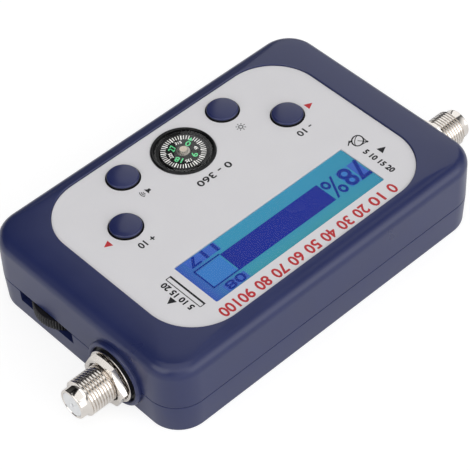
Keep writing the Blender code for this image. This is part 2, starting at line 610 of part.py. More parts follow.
def make_display():
    place = (0, DISPLAY_Y)
    inner_radius = DISPLAY_CORNER_RADIUS
    plate("display_window", GLASS_LENGTH, GLASS_WIDTH, inner_radius, FACE_Z - LABEL_THICKNESS, FACE_Z, CLEAR, place)
    plate("display_glass", GLASS_LENGTH, GLASS_WIDTH, inner_radius, GLASS_BOTTOM_Z, GLASS_TOP_Z, DISPLAY_BLUE, place)
    plate("display_backlight", GLASS_LENGTH, BACKLIGHT_WIDTH, inner_radius, BACKLIGHT_BOTTOM_Z, BACKLIGHT_TOP_Z,
          LIGHT_GUIDE, (0, BACKLIGHT_Y))
    frame_length = DISPLAY_LENGTH + 2 * FRAME_WALL
    frame_width = DISPLAY_WIDTH + 2 * FRAME_WALL
    frame = plate("display_frame", frame_length, frame_width, FRAME_CORNER_RADIUS, BOARD_TOP_Z + SEAT_GAP,
                  FRAME_TOP_Z, FRAME_BLACK, place)
    cut(frame, plate("frame_pocket", DISPLAY_LENGTH, DISPLAY_WIDTH, inner_radius, FRAME_SEAT_Z,
                     FRAME_TOP_Z + OVERRUN, place=place))
    cut(frame, plate("frame_underside", DISPLAY_LENGTH, DISPLAY_WIDTH, inner_radius, BOARD_TOP_Z - OVERRUN,
                     FRAME_SEAT_Z - FRAME_FLOOR, place=place))
    strip_place = (0, STRIP_Y)
    cut(frame, plate("strip_slot", STRIP_LENGTH + 2 * SEAT_GAP, STRIP_WIDTH + 2 * FINE_GAP, STRIP_CORNER_RADIUS,
                     BOARD_TOP_Z, FRAME_TOP_Z, place=strip_place))
    plate("display_contact_strip", STRIP_LENGTH, STRIP_WIDTH, STRIP_CORNER_RADIUS, BOARD_TOP_Z + SEAT_GAP,
          GLASS_BOTTOM_Z - SEAT_GAP, RUBBER, strip_place)


def make_board():
    board = plate("main_board", BOARD_LENGTH, BOARD_WIDTH, BOARD_CORNER_RADIUS, BOARD_BOTTOM_Z, BOARD_TOP_Z,
                  BOARD_GREEN)
    low, high = BOARD_BOTTOM_Z - OVERRUN, BOARD_TOP_Z + OVERRUN
    for x, y in CASE_SCREW_PLACES:
        radius = LOWER_POST_RADIUS + BOARD_NOTCH_CLEARANCE
        sign_x, sign_y = (1 if x > 0 else -1), (1 if y > 0 else -1)
        ends_x = sorted((x - sign_x * radius, sign_x * BOARD_LENGTH))
        ends_y = sorted((y - sign_y * radius, sign_y * BOARD_WIDTH))
        cut(board, block("corner_notch", (ends_x[0], ends_y[0], low), (ends_x[1], ends_y[1], high)))
    notch_half = CONNECTOR_FLANGE_RADIUS + BOARD_NOTCH_CLEARANCE
    for side in (-1, 1):
        ends = sorted((side * (END_WALL_X + TAIL_END - BOARD_NOTCH_CLEARANCE), side * BOARD_LENGTH))
        cut(board, block("connector_notch", (ends[0], CONNECTOR_Y - notch_half, low), (ends[1], SCREW_POST_Y, high)))
        cut(board, cylinder("contact_hole", CONTACT_WIRE_RADIUS + SEAT_GAP, low, high,
                            (side * (END_WALL_X + WIRE_END), CONNECTOR_Y)))
    for place in BOARD_SCREW_PLACES:
        cut(board, cylinder("board_screw_hole", BOARD_SCREW_RADIUS + SEAT_GAP, low, high, place))
    for place in POT_PIN_PLACES:
        cut(board, cylinder("pot_pin_hole", POT_PIN_RADIUS + SEAT_GAP, low, high, place))
    plate("main_chip", CHIP_SIZE, CHIP_SIZE, CHIP_CORNER_RADIUS, BOARD_BOTTOM_Z - SEAT_GAP - CHIP_HEIGHT,
          BOARD_BOTTOM_Z - SEAT_GAP, CHIP_BLACK, (CHIP_X, CHIP_Y))


def make_buttons():
    edge_low = BUTTON_TOP_Z - BUTTON_DOME_RISE - BUTTON_EDGE_RADIUS
    profile = [(0, BUTTON_TOP_Z)]
    for step in range(BUTTON_EDGE_STEPS + 1):
        turn = pi / 2 * step / BUTTON_EDGE_STEPS
        profile.append((BUTTON_RADIUS - BUTTON_EDGE_RADIUS * (1 - sin(turn)), edge_low + BUTTON_EDGE_RADIUS * cos(turn)))
    flange_radius = BUTTON_HOLE_RADIUS + BUTTON_FLANGE
    flange_bottom = BUTTON_FLANGE_TOP_Z - BUTTON_FLANGE_THICKNESS
    profile += [(BUTTON_RADIUS, BUTTON_FLANGE_TOP_Z), (flange_radius, BUTTON_FLANGE_TOP_Z),
                (flange_radius, flange_bottom), (BUTTON_STEM_RADIUS, flange_bottom),
                (BUTTON_STEM_RADIUS, BUTTON_BOTTOM_Z), (0, BUTTON_BOTTOM_Z)]
    plunger = [(0, PLUNGER_TOP_Z), (PLUNGER_RADIUS, PLUNGER_TOP_Z), (PLUNGER_RADIUS, PLUNGER_BOTTOM_Z),
               (0, PLUNGER_BOTTOM_Z)]
    for name, place in BUTTON_PLACES.items():
        turned(name + "_button", profile, NAVY, BUTTON_TURN_STEPS).location = (*place, 0)
        turned(name + "_switch_plunger", plunger, CHIP_BLACK, SCREW_TURN_STEPS).location = (*place, 0)
        body = plate(name + "_switch_body", SWITCH_SIZE, SWITCH_SIZE, SWITCH_CORNER_RADIUS, SWITCH_BOTTOM_Z,
                     SWITCH_TOP_Z, STEEL, place)
        cut(body, cylinder("plunger_bore", PLUNGER_RADIUS + SEAT_GAP, PLUNGER_BOTTOM_Z - BUTTON_TRAVEL - SEAT_GAP,
                           SWITCH_TOP_Z + OVERRUN, place))


def make_compass():
    place = (0, COMPASS_Y, 0)
    seat_radius = LENS_RADIUS + SEAT_GAP
    round_in = COMPASS_RIM_ROUND
    floor_z = COMPASS_BOTTOM_Z + COMPASS_FLOOR
    cup = [(0, floor_z), (COMPASS_BORE_RADIUS, floor_z), (COMPASS_BORE_RADIUS, LENS_SEAT_Z),
           (seat_radius, LENS_SEAT_Z), (seat_radius, COMPASS_TOP_Z), (COMPASS_RADIUS - round_in, COMPASS_TOP_Z),
           (COMPASS_RADIUS, COMPASS_TOP_Z - round_in), (COMPASS_RADIUS, COMPASS_BOTTOM_Z), (0, COMPASS_BOTTOM_Z)]
    turned("compass_cup", cup, FRAME_BLACK, COMPASS_TURN_STEPS).location = place
    lens = []
    for step in range(LENS_DOME_STEPS + 1):
        radius = LENS_RADIUS * step / LENS_DOME_STEPS
        lens.append((radius, LENS_EDGE_TOP_Z + LENS_DOME * (1 - (radius / LENS_RADIUS) ** 2)))
    lens += [(radius, z - LENS_THICKNESS) for radius, z in reversed(lens)]
    turned("compass_lens", lens, CLEAR, COMPASS_TURN_STEPS).location = place
    card_low = CARD_TOP_Z - CARD_THICKNESS
    card = [(CARD_HOLE_RADIUS, CARD_TOP_Z), (CARD_RADIUS, CARD_TOP_Z), (CARD_RADIUS, card_low),
            (CARD_HOLE_RADIUS, card_low)]
    turned("compass_card", card, CHIP_BLACK, COMPASS_TURN_STEPS, closed=True).location = place
    flange_low = CARD_TOP_Z + FINE_GAP
    bore_radius = PIVOT_RADIUS + SEAT_GAP
    bore_top = HUB_TOP_Z - HUB_ROOF
    hub = [(0, HUB_TOP_Z), (HUB_RADIUS, HUB_TOP_Z), (HUB_RADIUS, flange_low + HUB_FLANGE_THICKNESS),
           (HUB_FLANGE_RADIUS, flange_low + HUB_FLANGE_THICKNESS), (HUB_FLANGE_RADIUS, flange_low),
           (bore_radius, flange_low), (bore_radius, bore_top), (0, bore_top)]
    turned("compass_hub", hub, BRASS, SCREW_TURN_STEPS).location = place
    base_low = floor_z + FINE_GAP
    pivot = [(0, bore_top - FINE_GAP), (PIVOT_RADIUS, bore_top - FINE_GAP - PIVOT_RADIUS),
             (PIVOT_RADIUS, base_low + PIVOT_BASE_HEIGHT), (PIVOT_BASE_RADIUS, base_low + PIVOT_BASE_HEIGHT),
             (PIVOT_BASE_RADIUS, base_low), (0, base_low)]
    turned("compass_pivot", pivot, BRASS, SCREW_TURN_STEPS).location = place


def make_thumbwheel():
    place = (WHEEL_X, WHEEL_Y)
    wheel = toothed_prism("sensitivity_thumbwheel", WHEEL_RIBS, WHEEL_RADIUS - WHEEL_RIB_DEPTH, WHEEL_RADIUS,
                          WHEEL_BOTTOM_Z, WHEEL_TOP_Z, WHEEL_BLACK)
    wheel.location = (*place, 0)
    cut(wheel, cylinder("wheel_bore", AXLE_RADIUS + SEAT_GAP, WHEEL_BOTTOM_Z - OVERRUN, WHEEL_TOP_Z + OVERRUN, place))
    cut(wheel, cylinder("wheel_dish", WHEEL_RADIUS * WHEEL_DISH_SHARE, WHEEL_BOTTOM_Z - OVERRUN,
                        WHEEL_BOTTOM_Z + WHEEL_DISH_DEPTH, place, CONNECTOR_TURN_STEPS))
    head_top = WHEEL_BOTTOM_Z + WHEEL_DISH_DEPTH - SEAT_GAP
    axle = [(0, POT_TOP_Z), (AXLE_RADIUS, POT_TOP_Z), (AXLE_RADIUS, head_top), (AXLE_HEAD_RADIUS, head_top),
            (AXLE_HEAD_RADIUS, head_top - AXLE_HEAD_HEIGHT), (0, head_top - AXLE_HEAD_HEIGHT)]
    turned("thumbwheel_axle", axle, BRASS, SCREW_TURN_STEPS).location = (*place, 0)
    body = plate("potentiometer_body", POT_LENGTH, POT_WIDTH, POT_CORNER_RADIUS, POT_BOTTOM_Z, POT_TOP_Z,
                 WHEEL_BLACK, (POT_X, WHEEL_Y))
    for pin in POT_PIN_PLACES:
        join(body, cylinder("pot_pin", POT_PIN_RADIUS, POT_BOTTOM_Z + FINE_GAP, BOARD_TOP_Z + SEAT_GAP, pin))
    cut(body, cylinder("pot_axle_hole", AXLE_RADIUS + SEAT_GAP, POT_BOTTOM_Z - OVERRUN, POT_TOP_Z + OVERRUN, place))


def make_buzzer():
    top = BOARD_BOTTOM_Z - SEAT_GAP
    bottom = top - BUZZER_HEIGHT
    profile = [(0, top), (BUZZER_RADIUS, top), (BUZZER_RADIUS, bottom + BUZZER_ROUND),
               (BUZZER_RADIUS - BUZZER_ROUND, bottom), (BUZZER_HOLE_RADIUS, bottom),
               (BUZZER_HOLE_RADIUS, bottom + BUZZER_HOLE_DEPTH), (0, bottom + BUZZER_HOLE_DEPTH)]
    turned("buzzer_element", profile, CHIP_BLACK, COMPASS_TURN_STEPS).location = (BUZZER_X, BUZZER_Y, 0)


def make_connector(prefix, side, nut_turn):
    nose_base = CONNECTOR_REACH - CONNECTOR_NOSE_LENGTH
    chamfer = CONNECTOR_NOSE_CHAMFER
    shell = [(CONNECTOR_BORE_RADIUS, CONNECTOR_REACH), (CONNECTOR_NOSE_RADIUS - chamfer, CONNECTOR_REACH),
             (CONNECTOR_NOSE_RADIUS, CONNECTOR_REACH - chamfer), (CONNECTOR_NOSE_RADIUS, nose_base),
             (CONNECTOR_THREAD_RADIUS, nose_base - THREAD_RUNOUT), (CONNECTOR_THREAD_RADIUS, FLANGE_TOP),
             (CONNECTOR_TAIL_RADIUS, FLANGE_BOTTOM), (CONNECTOR_TAIL_RADIUS, TAIL_END),
             (CONNECTOR_BORE_RADIUS, TAIL_END)]
    barrel = aim_outwards(turned(prefix + "_connector_shell", shell, NICKEL, closed=True), side)
    flange = hexagon(prefix + "_flange", CONNECTOR_FLANGE_ACROSS_FLATS, FLANGE_BOTTOM, FLANGE_TOP, 0)
    flange_bore = turned("flange_bore", [(0, FLANGE_TOP + OVERRUN), (CONNECTOR_BORE_RADIUS + BURY, FLANGE_TOP + OVERRUN),
                                         (CONNECTOR_BORE_RADIUS + BURY, FLANGE_BOTTOM - OVERRUN),
                                         (0, FLANGE_BOTTOM - OVERRUN)])
    cut(aim_outwards(flange, side), aim_outwards(flange_bore, side))
    join(barrel, flange)
    washer = [(CONNECTOR_HOLE_RADIUS, WASHER_FACE + WASHER_THICKNESS), (WASHER_RADIUS, WASHER_FACE + WASHER_THICKNESS),
              (WASHER_RADIUS, WASHER_FACE), (CONNECTOR_HOLE_RADIUS, WASHER_FACE)]
    aim_outwards(turned(prefix + "_flat_washer", washer, NICKEL, closed=True), side)
    lock_washer = toothed_prism(prefix + "_lock_washer", LOCK_WASHER_TEETH, LOCK_WASHER_ROOT_RADIUS,
                                LOCK_WASHER_RADIUS, LOCK_WASHER_FACE,
                                LOCK_WASHER_FACE + WASHER_THICKNESS, NICKEL)
    cut(aim_outwards(lock_washer, side), bore_cutter(LOCK_WASHER_FACE, LOCK_WASHER_FACE + WASHER_THICKNESS, side))
    make_nut(prefix, side, nut_turn)
    contact_room = CONTACT_RADIUS + FINE_GAP
    insulator = [(SOCKET_HOLE_RADIUS, INSULATOR_TOP), (INSULATOR_RADIUS, INSULATOR_TOP),
                 (INSULATOR_RADIUS, TAIL_END), (contact_room, TAIL_END),
                 (contact_room, INSULATOR_TOP - INSULATOR_FRONT), (SOCKET_HOLE_RADIUS, INSULATOR_TOP - INSULATOR_FRONT)]
    aim_outwards(turned(prefix + "_insulator", insulator, INSULATOR_WHITE, SCREW_TURN_STEPS, closed=True), side)
    make_contact(prefix, side)


def bore_cutter(low, high, side):
    bore = [(0, high + OVERRUN), (CONNECTOR_HOLE_RADIUS, high + OVERRUN), (CONNECTOR_HOLE_RADIUS, low - OVERRUN),
            (0, low - OVERRUN)]
    return aim_outwards(turned("bore_cutter", bore), side)


def hexagon(name, across_flats, bottom, top, turn, paint=None):
    """A hexagonal prism about Z; at turn 0 two corners lie on the X axis."""
    corner_radius = across_flats / sqrt(3)
    shape = bmesh.new()
    place = Matrix.Translation((0, 0, (bottom + top) / 2)) @ Matrix.Rotation(turn, 4, "Z")
    bmesh.ops.create_cone(shape, cap_ends=True, segments=6, radius1=corner_radius, radius2=corner_radius,
                          depth=top - bottom, matrix=place)
    return add_object(name, finish_mesh(shape, name), paint)


def make_nut(prefix, side, nut_turn):
    """A hexagon prism, its outer corners taken off by a cone."""
    corner_radius = NUT_ACROSS_FLATS / sqrt(3)
    nut = aim_outwards(hexagon(prefix + "_hex_nut", NUT_ACROSS_FLATS, NUT_FACE, NUT_TOP, nut_turn, NICKEL), side)
    reach = corner_radius + OVERRUN
    slope = tan(radians(30.0))
    start = NUT_ACROSS_FLATS / 2 - NUT_CHAMFER
    cone = [(0, NUT_TOP + OVERRUN / 10), (start, NUT_TOP + OVERRUN / 10), (start, NUT_TOP),
            (reach, NUT_TOP - slope * (reach - start)), (reach, NUT_FACE - OVERRUN), (0, NUT_FACE - OVERRUN)]
    combine(nut, aim_outwards(turned("nut_cone", cone), side), "INTERSECT")
    cut(nut, bore_cutter(NUT_FACE, NUT_TOP, side))


def make_contact(prefix, side):
    """The centre contact: a socket sleeve in the insulator with a wire that turns up into the board."""
    name = prefix + "_centre_contact"
    sleeve = [(CONTACT_BORE_RADIUS, CONTACT_TOP), (CONTACT_RADIUS, CONTACT_TOP), (CONTACT_RADIUS, TAIL_END),
              (0, TAIL_END), (0, CONTACT_TOP - CONTACT_BORE_DEPTH),
              (CONTACT_BORE_RADIUS, CONTACT_TOP - CONTACT_BORE_DEPTH)]
    sleeve = aim_outwards(turned(name, sleeve, BRASS, SCREW_TURN_STEPS, closed=True), side)
    curve = bpy.data.curves.new(name + "_wire", "CURVE")
    curve.dimensions = "3D"
    curve.bevel_depth = CONTACT_WIRE_RADIUS
    curve.bevel_resolution = 2
    curve.use_fill_caps = True
    spline = curve.splines.new("POLY")
    wire_x = END_WALL_X + WIRE_END
    points = [(side * (END_WALL_X + TAIL_END + BURY), PARTING_Z)]
    bend = CONTACT_WIRE_RADIUS * 2
    for step in range(BEND_STEPS + 1):
        turn = pi / 2 * step / (BEND_STEPS)
        points.append((side * (wire_x + bend * (1 - sin(turn))), PARTING_Z + bend * (1 - cos(turn))))
    points.append((side * wire_x, BOARD_TOP_Z + SEAT_GAP))
    spline.points.add(len(points) - 1)
    for point, (x, z) in zip(spline.points, points):
        point.co = (x, CONNECTOR_Y, z, 1)
    wire = bpy.data.objects.new(name + "_wire", curve)
    CUTTERS.objects.link(wire)
    evaluated = wire.evaluated_get(bpy.context.evaluated_depsgraph_get())
    mesh = bpy.data.meshes.new_from_object(evaluated)
    bpy.data.objects.remove(wire, do_unlink=True)
    shape = bmesh.new()
    shape.from_mesh(mesh)
    bmesh.ops.remove_doubles(shape, verts=shape.verts, dist=FINE_GAP / 100)
    bmesh.ops.recalc_face_normals(shape, faces=shape.faces)
    join(sleeve, add_object(name + "_wire", finish_mesh(shape, name + "_wire")))


def make_screw(name, head_radius, head_height, radius, length, seat_z, place):
    """A pan-head screw that points up: seat_z is the height where its head stops."""
    head_low = seat_z - head_height
    crown = head_radius * SCREW_HEAD_ROUND_SHARE
    point = radius * SCREW_POINT_SHARE
    profile = [(0, seat_z + length), (point, seat_z + length), (radius, seat_z + length - point), (radius, seat_z),
               (head_radius, seat_z), (head_radius, head_low + crown), (head_radius - crown, head_low), (0, head_low)]
    turned(name, profile, STEEL, SCREW_TURN_STEPS).location = (*place, 0)


def make_screws():
    for number, place in enumerate(CASE_SCREW_PLACES, 1):
        make_screw(f"case_screw_{number}", CASE_SCREW_HEAD_RADIUS, CASE_SCREW_HEAD_HEIGHT, CASE_SCREW_RADIUS,
                   CASE_SCREW_LENGTH, CASE_SCREW_SEAT_Z - SEAT_GAP, place)
    for number, place in enumerate(BOARD_SCREW_PLACES, 1):
        make_screw(f"board_screw_{number}", BOARD_SCREW_HEAD_RADIUS, BOARD_SCREW_HEAD_HEIGHT, BOARD_SCREW_RADIUS,
                   BOARD_SCREW_LENGTH, BOARD_BOTTOM_Z - SEAT_GAP, place)


make_upper_shell()
make_lower_shell()
make_face()
make_display()
make_board()
make_buttons()
make_compass()
make_thumbwheel()
make_buzzer()
make_connector("receiver", 1, RECEIVER_NUT_TURN)
make_connector("satellite", -1, SATELLITE_NUT_TURN)
make_screws()
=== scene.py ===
"""Satellite signal meter: the looks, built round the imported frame.

Metres, +Z up out of the face, +X towards the receiver connector, +Y towards the display.
"""
from math import cos, pi, radians, sin, tan

import bmesh
import bpy
from mathutils import Matrix, Vector


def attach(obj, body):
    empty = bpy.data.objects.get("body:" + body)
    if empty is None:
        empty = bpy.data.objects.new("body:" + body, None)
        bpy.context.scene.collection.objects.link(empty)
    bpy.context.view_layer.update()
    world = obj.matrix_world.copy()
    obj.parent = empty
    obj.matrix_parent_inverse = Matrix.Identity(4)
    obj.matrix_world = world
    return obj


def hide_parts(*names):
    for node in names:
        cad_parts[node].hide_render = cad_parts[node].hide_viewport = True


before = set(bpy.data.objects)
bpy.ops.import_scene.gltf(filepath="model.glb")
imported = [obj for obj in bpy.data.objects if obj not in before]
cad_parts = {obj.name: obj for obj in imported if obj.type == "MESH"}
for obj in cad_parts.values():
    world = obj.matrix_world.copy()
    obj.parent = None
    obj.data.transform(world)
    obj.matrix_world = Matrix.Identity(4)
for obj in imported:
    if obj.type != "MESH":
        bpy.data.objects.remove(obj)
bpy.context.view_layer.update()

MM = 0.001
SCENE = bpy.context.scene
SHARP_EDGE = radians(32.0)

# Sizes of rounded rectangles are (length, width, corner radius).

# Case
CASE = (101.5 * MM, 67.2 * MM, 8.6 * MM)
WALL, END_WALL_X = 2.2 * MM, 50.75 * MM
LOWER_RIM_Z, UPPER_RIM_Z, PARTING_Z = 8.7 * MM, 9.0 * MM, 8.85 * MM
PARTING_HALF_GAP, EDGE_ROUND = 0.05 * MM, 0.16 * MM
FACE_Z, RIM_TOP_Z = 22.05 * MM, 22.5 * MM
CROWN_RISE, CROWN_POWER = 0.66 * MM, 1.5
TOP_FILLET, FILLET_SWEEP = 3.4 * MM, radians(80.0)
BASE_DRAFT, BASE_EDGE, FLOOR = 0.4 * MM, 0.6 * MM, 2.0 * MM
CEILING_Z, RECESS_FLOOR_Z = 19.15 * MM, 21.35 * MM
RECESS_EASE, RECESS_EASE_DOWN = 0.15 * MM, 0.16 * MM
LIP_TOP_Z, LIP_THICKNESS = 10.2 * MM, 0.9 * MM
# Gap between pieces, overrun of a cutter, overlap of joined forms
GAP, OVERRUN, OVERLAP = 0.3 * MM, 2.0 * MM, 0.5 * MM
CORNER_STEPS, FILLET_STEPS, CROWN_STEPS, BASE_STEPS, EDGE_BEND = 18, 12, 4, 6, 0.3

# Case screws, with the posts that take them and the sinks for their heads (radius, z in mm)
CASE_SCREWS = [(sx * 43.45 * MM, sy * 26.3 * MM) for sy in (-1, 1) for sx in (-1, 1)]
UPPER_POST, LOWER_POST = 3.5 * MM, 3.9 * MM
SCREW_HOLE, SCREW_HOLE_TOP_Z = 1.7 * MM, 16.4 * MM
SCREW_SINK = [(0, 3.4), (2.9, 3.4), (2.9, 0.25), (3.15, -0.01), (3.15, -2.0), (0, -2.0)]
CROSS_LONG, CROSS_THIN, CROSS_LOW, CROSS_DEEP = 1.35 * MM, 0.28 * MM, 0.5 * MM, 2.35 * MM
CROSS_TURN, CROSS_TURN_STEP = radians(20), radians(33)

# Face
LABEL_SIZE = (80.7 * MM, 57.1 * MM, 13.4 * MM)
LABEL_THICKNESS, LABEL_GROW, LABEL_SOFT = 0.4 * MM, 0.22 * MM, 0.06 * MM
PRINT_THICKNESS, BOLD_COPIES, BOLD_RISE = 0.02 * MM, 6, 0.0004 * MM
DISPLAY_Y, DISPLAY_LENGTH, DISPLAY_WIDTH = 15.75 * MM, 55.0 * MM, 14.75 * MM
DISPLAY_CORNER, PANE_CORNER = 0.4 * MM, 0.35 * MM
PANE_TRIM, PANE_GAP, PANE_SOFT, PANE_LOW_Z = 0.05 * MM, 0.07 * MM, 0.05 * MM, 21.9 * MM
SHEET_LOW_Z, SHEET_TOP_Z, MARK_RISE = 20.6 * MM, 21.75 * MM, 0.01 * MM

# Buttons: a domed cap over a black skirt, whose black is painted shade for the gap round the cap,
# with a neck and a flange (radius, z in mm) below
BUTTONS = {"att_receiver": (26.6 * MM, -9.35 * MM), "att_satellite": (-26.6 * MM, -9.35 * MM),
           "light": (-16.4 * MM, -22.0 * MM), "buzzer": (16.4 * MM, -22.0 * MM)}
BUTTON_HOLE, BUTTON_RADIUS, BUTTON_TOP_Z = 4.4 * MM, 4.1 * MM, 23.2 * MM
BUTTON_DOME, DOME_POWER, DOME_STEPS, BUTTON_EDGE = 0.3 * MM, 2.4, 8, 0.5 * MM
CAP_INSET, SKIRT_BEVEL, SKIRT_TOP_Z = 0.1 * MM, 0.12 * MM, 22.45 * MM
NECK_RADIUS, NECK_LOW_Z = 3.8 * MM, 18.9 * MM
BUTTON_FLANGE = [(4.95, 18.85), (5.0, 18.8), (5.0, 18.05), (1.8, 18.05), (1.8, 16.9), (0, 16.9)]

# Compass
COMPASS_Y, COMPASS_HOLE = -18.4 * MM, 8.2 * MM
COMPASS_WELL, COMPASS_WELL_Z, PIVOT_WELL, PIVOT_WELL_Z = 8.5 * MM, 17.05 * MM, 2 * MM, 14 * MM
COMPASS_SEAT, COMPASS_SEAT_Z = 10.0 * MM, 15.85 * MM
CARD_TOP_Z, CARD_NORTH = 21.8 * MM, radians(205.0)
# Its bowl, dome and printed card, in mm; a tick is (inner radius, width)
BOWL_TOP, BOWL_EDGE = 22.45, 0.375
DOME_RADIUS, DOME_RIM, DOME_RISE, DOME_RINGS = 7.2, 22.2, 1.1, 12
DOME_WALL, DOME_INSIDE = 0.35, 0.93
TICKS, TICK_END, LONG_TICK, SHORT_TICK = 48, 5.65, (4.2, 0.3), (4.4, 0.19)
CARD_FIGURES, GREEN_PLACE, GREEN_HEIGHT = ("0", "9", "18", "27"), 2.95, 1.6
GREEN_WIDTHS, GREEN_BOLD = (1.25, 1.9), 0.03
WHITE_PLACE, WHITE_HEIGHT, WHITE_BOLD = 3.3, 0.85, 0.02
NORTH_MARK = ((5.3, 0.0), (4.1, 0.55), (4.1, -0.55))

# Thumbwheel, and the notch it stands in
WHEEL_X, WHEEL_Y, WHEEL_RADIUS = 43.65 * MM, -12.5 * MM, 8.5 * MM
WHEEL_LOW, WHEEL_TOP, WHEEL_BORE = 5.5 * MM, 8.5 * MM, 1.9 * MM
WHEEL_RIBS, RIB_SIDES, RIB_DEPTH, RIB_POWER = 72, 8, 0.5 * MM, 0.8
WHEEL_CHAMFER_TALL, WHEEL_CHAMFER_DEEP = 0.25 * MM, 0.3 * MM
NOTCH_Y, NOTCH_HALF, NOTCH_FLOOR_Z = -12.1 * MM, 9.6 * MM, 5.2 * MM

# Connectors, along the axis from the end wall
CONNECTOR_Y, CONNECTOR_HOLE = 13.55 * MM, 5.02 * MM
REACH, NOSE_LENGTH, NOSE_RADIUS, NOSE_CHAMFER = 13.6 * MM, 2.2 * MM, 3.92 * MM, 0.3 * MM
THREAD_RADIUS, THREAD_DEPTH, THREAD_PITCH, THREAD_GROOVE = 4.72 * MM, 0.42 * MM, 0.794 * MM, 0.5
THREAD_START, THREAD_FADE_IN, THREAD_FADE_OUT = -1.9 * MM, 0.5 * MM, 0.3 * MM
BARREL_BORE, BARREL_EASE, THREAD_RELIEF = 3.2 * MM, 0.12 * MM, 0.35 * MM
TAIL_RADIUS, TAIL_END, FLANGE_LOW, FLANGE_TOP = 4.2 * MM, -7.5 * MM, -4.5 * MM, -2.5 * MM
FLANGE_HALF = 5.5 * MM
NUT_ACROSS_FLATS, NUT_FACE, NUT_TOP, NUT_EASE = 12.2 * MM, 2.6 * MM, 4.3 * MM, 0.25 * MM
NUT_SLOPE, NUT_TURNS = radians(24.0), {"receiver": radians(33.0), "satellite": radians(18.0)}
# Lock washer, in mm
TEETH, TOOTH_SIDES, TOOTH_ROOT, TOOTH_HEIGHT, TOOTH_LEAN = 20, 10, 5.9, 0.45, 0.1
TOOTH_SLOPE, TOOTH_NOTCH, LOCK_BORE, LOCK_TOP, LOCK_LOW = 3.2, 0.25, 5.05, 2.39, 2.21

# Printing on the face, in mm: figures are (text, height, centre, turn in degrees, width, bold)
SCALE_START, SCALE_STEP, SCALE_Y, SCALE_HEIGHT = -26.6, 5.32, 26.4, 3.0
SCALE_WIDTHS, SCALE_BOLD = (1.9, 3.8, 5.0), 0.1
FACE_FIGURES = (("5 10 15 20", 1.55, (-31.05, 17.8), 90, 9.6, 0.1),
                ("5 10 15 20", 1.55, (32.6, 15.4), -90, 10.2, 0.1),
                ("- 10", 1.85, (-25.9, -2.4), 0, 4.6, 0.07),
                ("+ 10", 1.85, (26.3, -2.2), 0, 4.6, 0.07),
                ("0 - 360", 1.9, (0, -7.2), 0, 10.6, 0.07))
RED_TRIANGLES = (((-34.0, -8.05), (-31.9, -9.1), (-31.9, -7.0)),
                 ((34.6, -8.0), (32.6, -6.95), (32.6, -9.05)))
BLACK_TRIANGLES = (((-35.6, 15.6), (-33.5, 14.55), (-33.5, 16.65)),
                   ((35.85, 15.5), (33.85, 16.6), (33.85, 14.4)))
OUTLINE = (((29.6, 9.8), (31.1, 9.8), 0.22), ((31.1, 9.8), (31.1, 21.5), 0.22),
           ((29.6, 21.5), (31.1, 21.5), 0.22), ((29.75, 9.7), (29.75, 21.6), 0.5))
LAMP_MARK, SOUND_MARK, DISH_MARK = (-15.6, -14.5), (15.8, -14.5), (-32.3, 9.3)
LAMP_RING, LAMP_RAYS, SOUND_WAVES = (0.42, 0.64), (0.85, 1.3), (0.6, 1.05, 1.5)
SOUND_CONE = ((-1.5, -0.4), (-0.9, -0.4), (-0.3, -0.95), (-0.3, 0.95), (-0.9, 0.4), (-1.5, 0.4))

# Display, in mm: blocks are (x0, x1, y0, y1), figures (text, height, centre, width, bold, lean)
DEEP_CELLS = ((-27.0, -24.3, 13.2, 18.9), (16.4, 23.1, 20.2, 22.6), (15.3, 24.7, 8.7, 11.5))
LIGHT_CELLS = ((-23.9, -20.4, 13.2, 19.2), (17.2, 24.6, 12.9, 19.0))
LEVEL_BAR = (-14.75, 16.8, 12.66, 19.44)
BOX_LINE = 0.38
BOX_EDGES = (((16.8, 12.5), (24.95, 12.5)), ((24.75, 12.4), (24.75, 19.4)),
             ((16.8, 19.25), (24.95, 19.25)))
DISPLAY_FIGURES = (("7", 6.2, (-25.6, 16.15), 3.5, 0.12, 0.1),
                   ("8", 6.2, (-22.1, 16.15), 3.4, 0.12, 0.0),
                   ("%", 6.4, (-17.4, 16.2), 4.6, 0.06, 0.0),
                   ("08", 2.5, (19.8, 21.3), 5.5, 0.08, 0.0),
                   ("117", 2.7, (20.0, 10.1), 8.5, 0.1, 0.0))

# Camera, room and lamps (name, place, width, height, watts)
CAMERA_PLACE = (228.379 * MM, 261.488 * MM, 380.445 * MM)
CAMERA_AXES = ((-0.7274793, 0.6851647, -0.0363743), (-0.5211199, -0.5172629, 0.6788764),
               (0.4463271, 0.5128239, 0.7333511))
CAMERA_SENSOR, CAMERA_LENS = 36.0, 159.78
ROOM_HORIZON_TO_ZENITH, ROOM_SLOPE = (1.2, 0.06), (0.64, 0.78)
# Directions in which the room is dim, the share left there, and the cosines between
ROOM_DIM_SIDES = (((0.86, -0.51, 0.0), 0.12, 0.0, 0.5), ((-0.62, -0.78, 0.0), 0.1, 0.05, 0.45))
FLOOR_HALF, FLOOR_DROP = 1.5, 0.02 * MM
# What gloss sees of the floor: its glow near the object and far from it, and those distances
FLOOR_GLOW, FLOOR_GLOW_REACH = (0.18, 0.6), (0.25, 0.9)
# What the camera sees of it
FLOOR_SEEN_GLOW, FLOOR_SEEN_GREY = 0.8, 0.3
LAMPS = (("far_softbox", (-0.782, -0.489, 0.75), 0.9, 1.3, 3.85),
         ("near_softbox", (0.28, 0.33, 1.0), 1.3, 1.3, 5.6),
         ("right_softbox", (-0.351, 0.93, 0.34), 1.2, 0.6, 2.6),
         ("left_softbox", (0.92, 0.024, 0.50), 0.8, 0.6, 3.0))


# ---- Materials ----

def linear(red, green, blue):
    """A colour written as it shows, 0 to 255, as linear light."""
    return tuple((c / 255 / 12.92) if c <= 10 else ((c / 255 + 0.055) / 1.055) ** 2.4
                 for c in (red, green, blue))


def node(tree, kind, **values):
    made = tree.nodes.new("ShaderNode" + kind)
    for key, value in values.items():
        setattr(made, key, value)
    return made


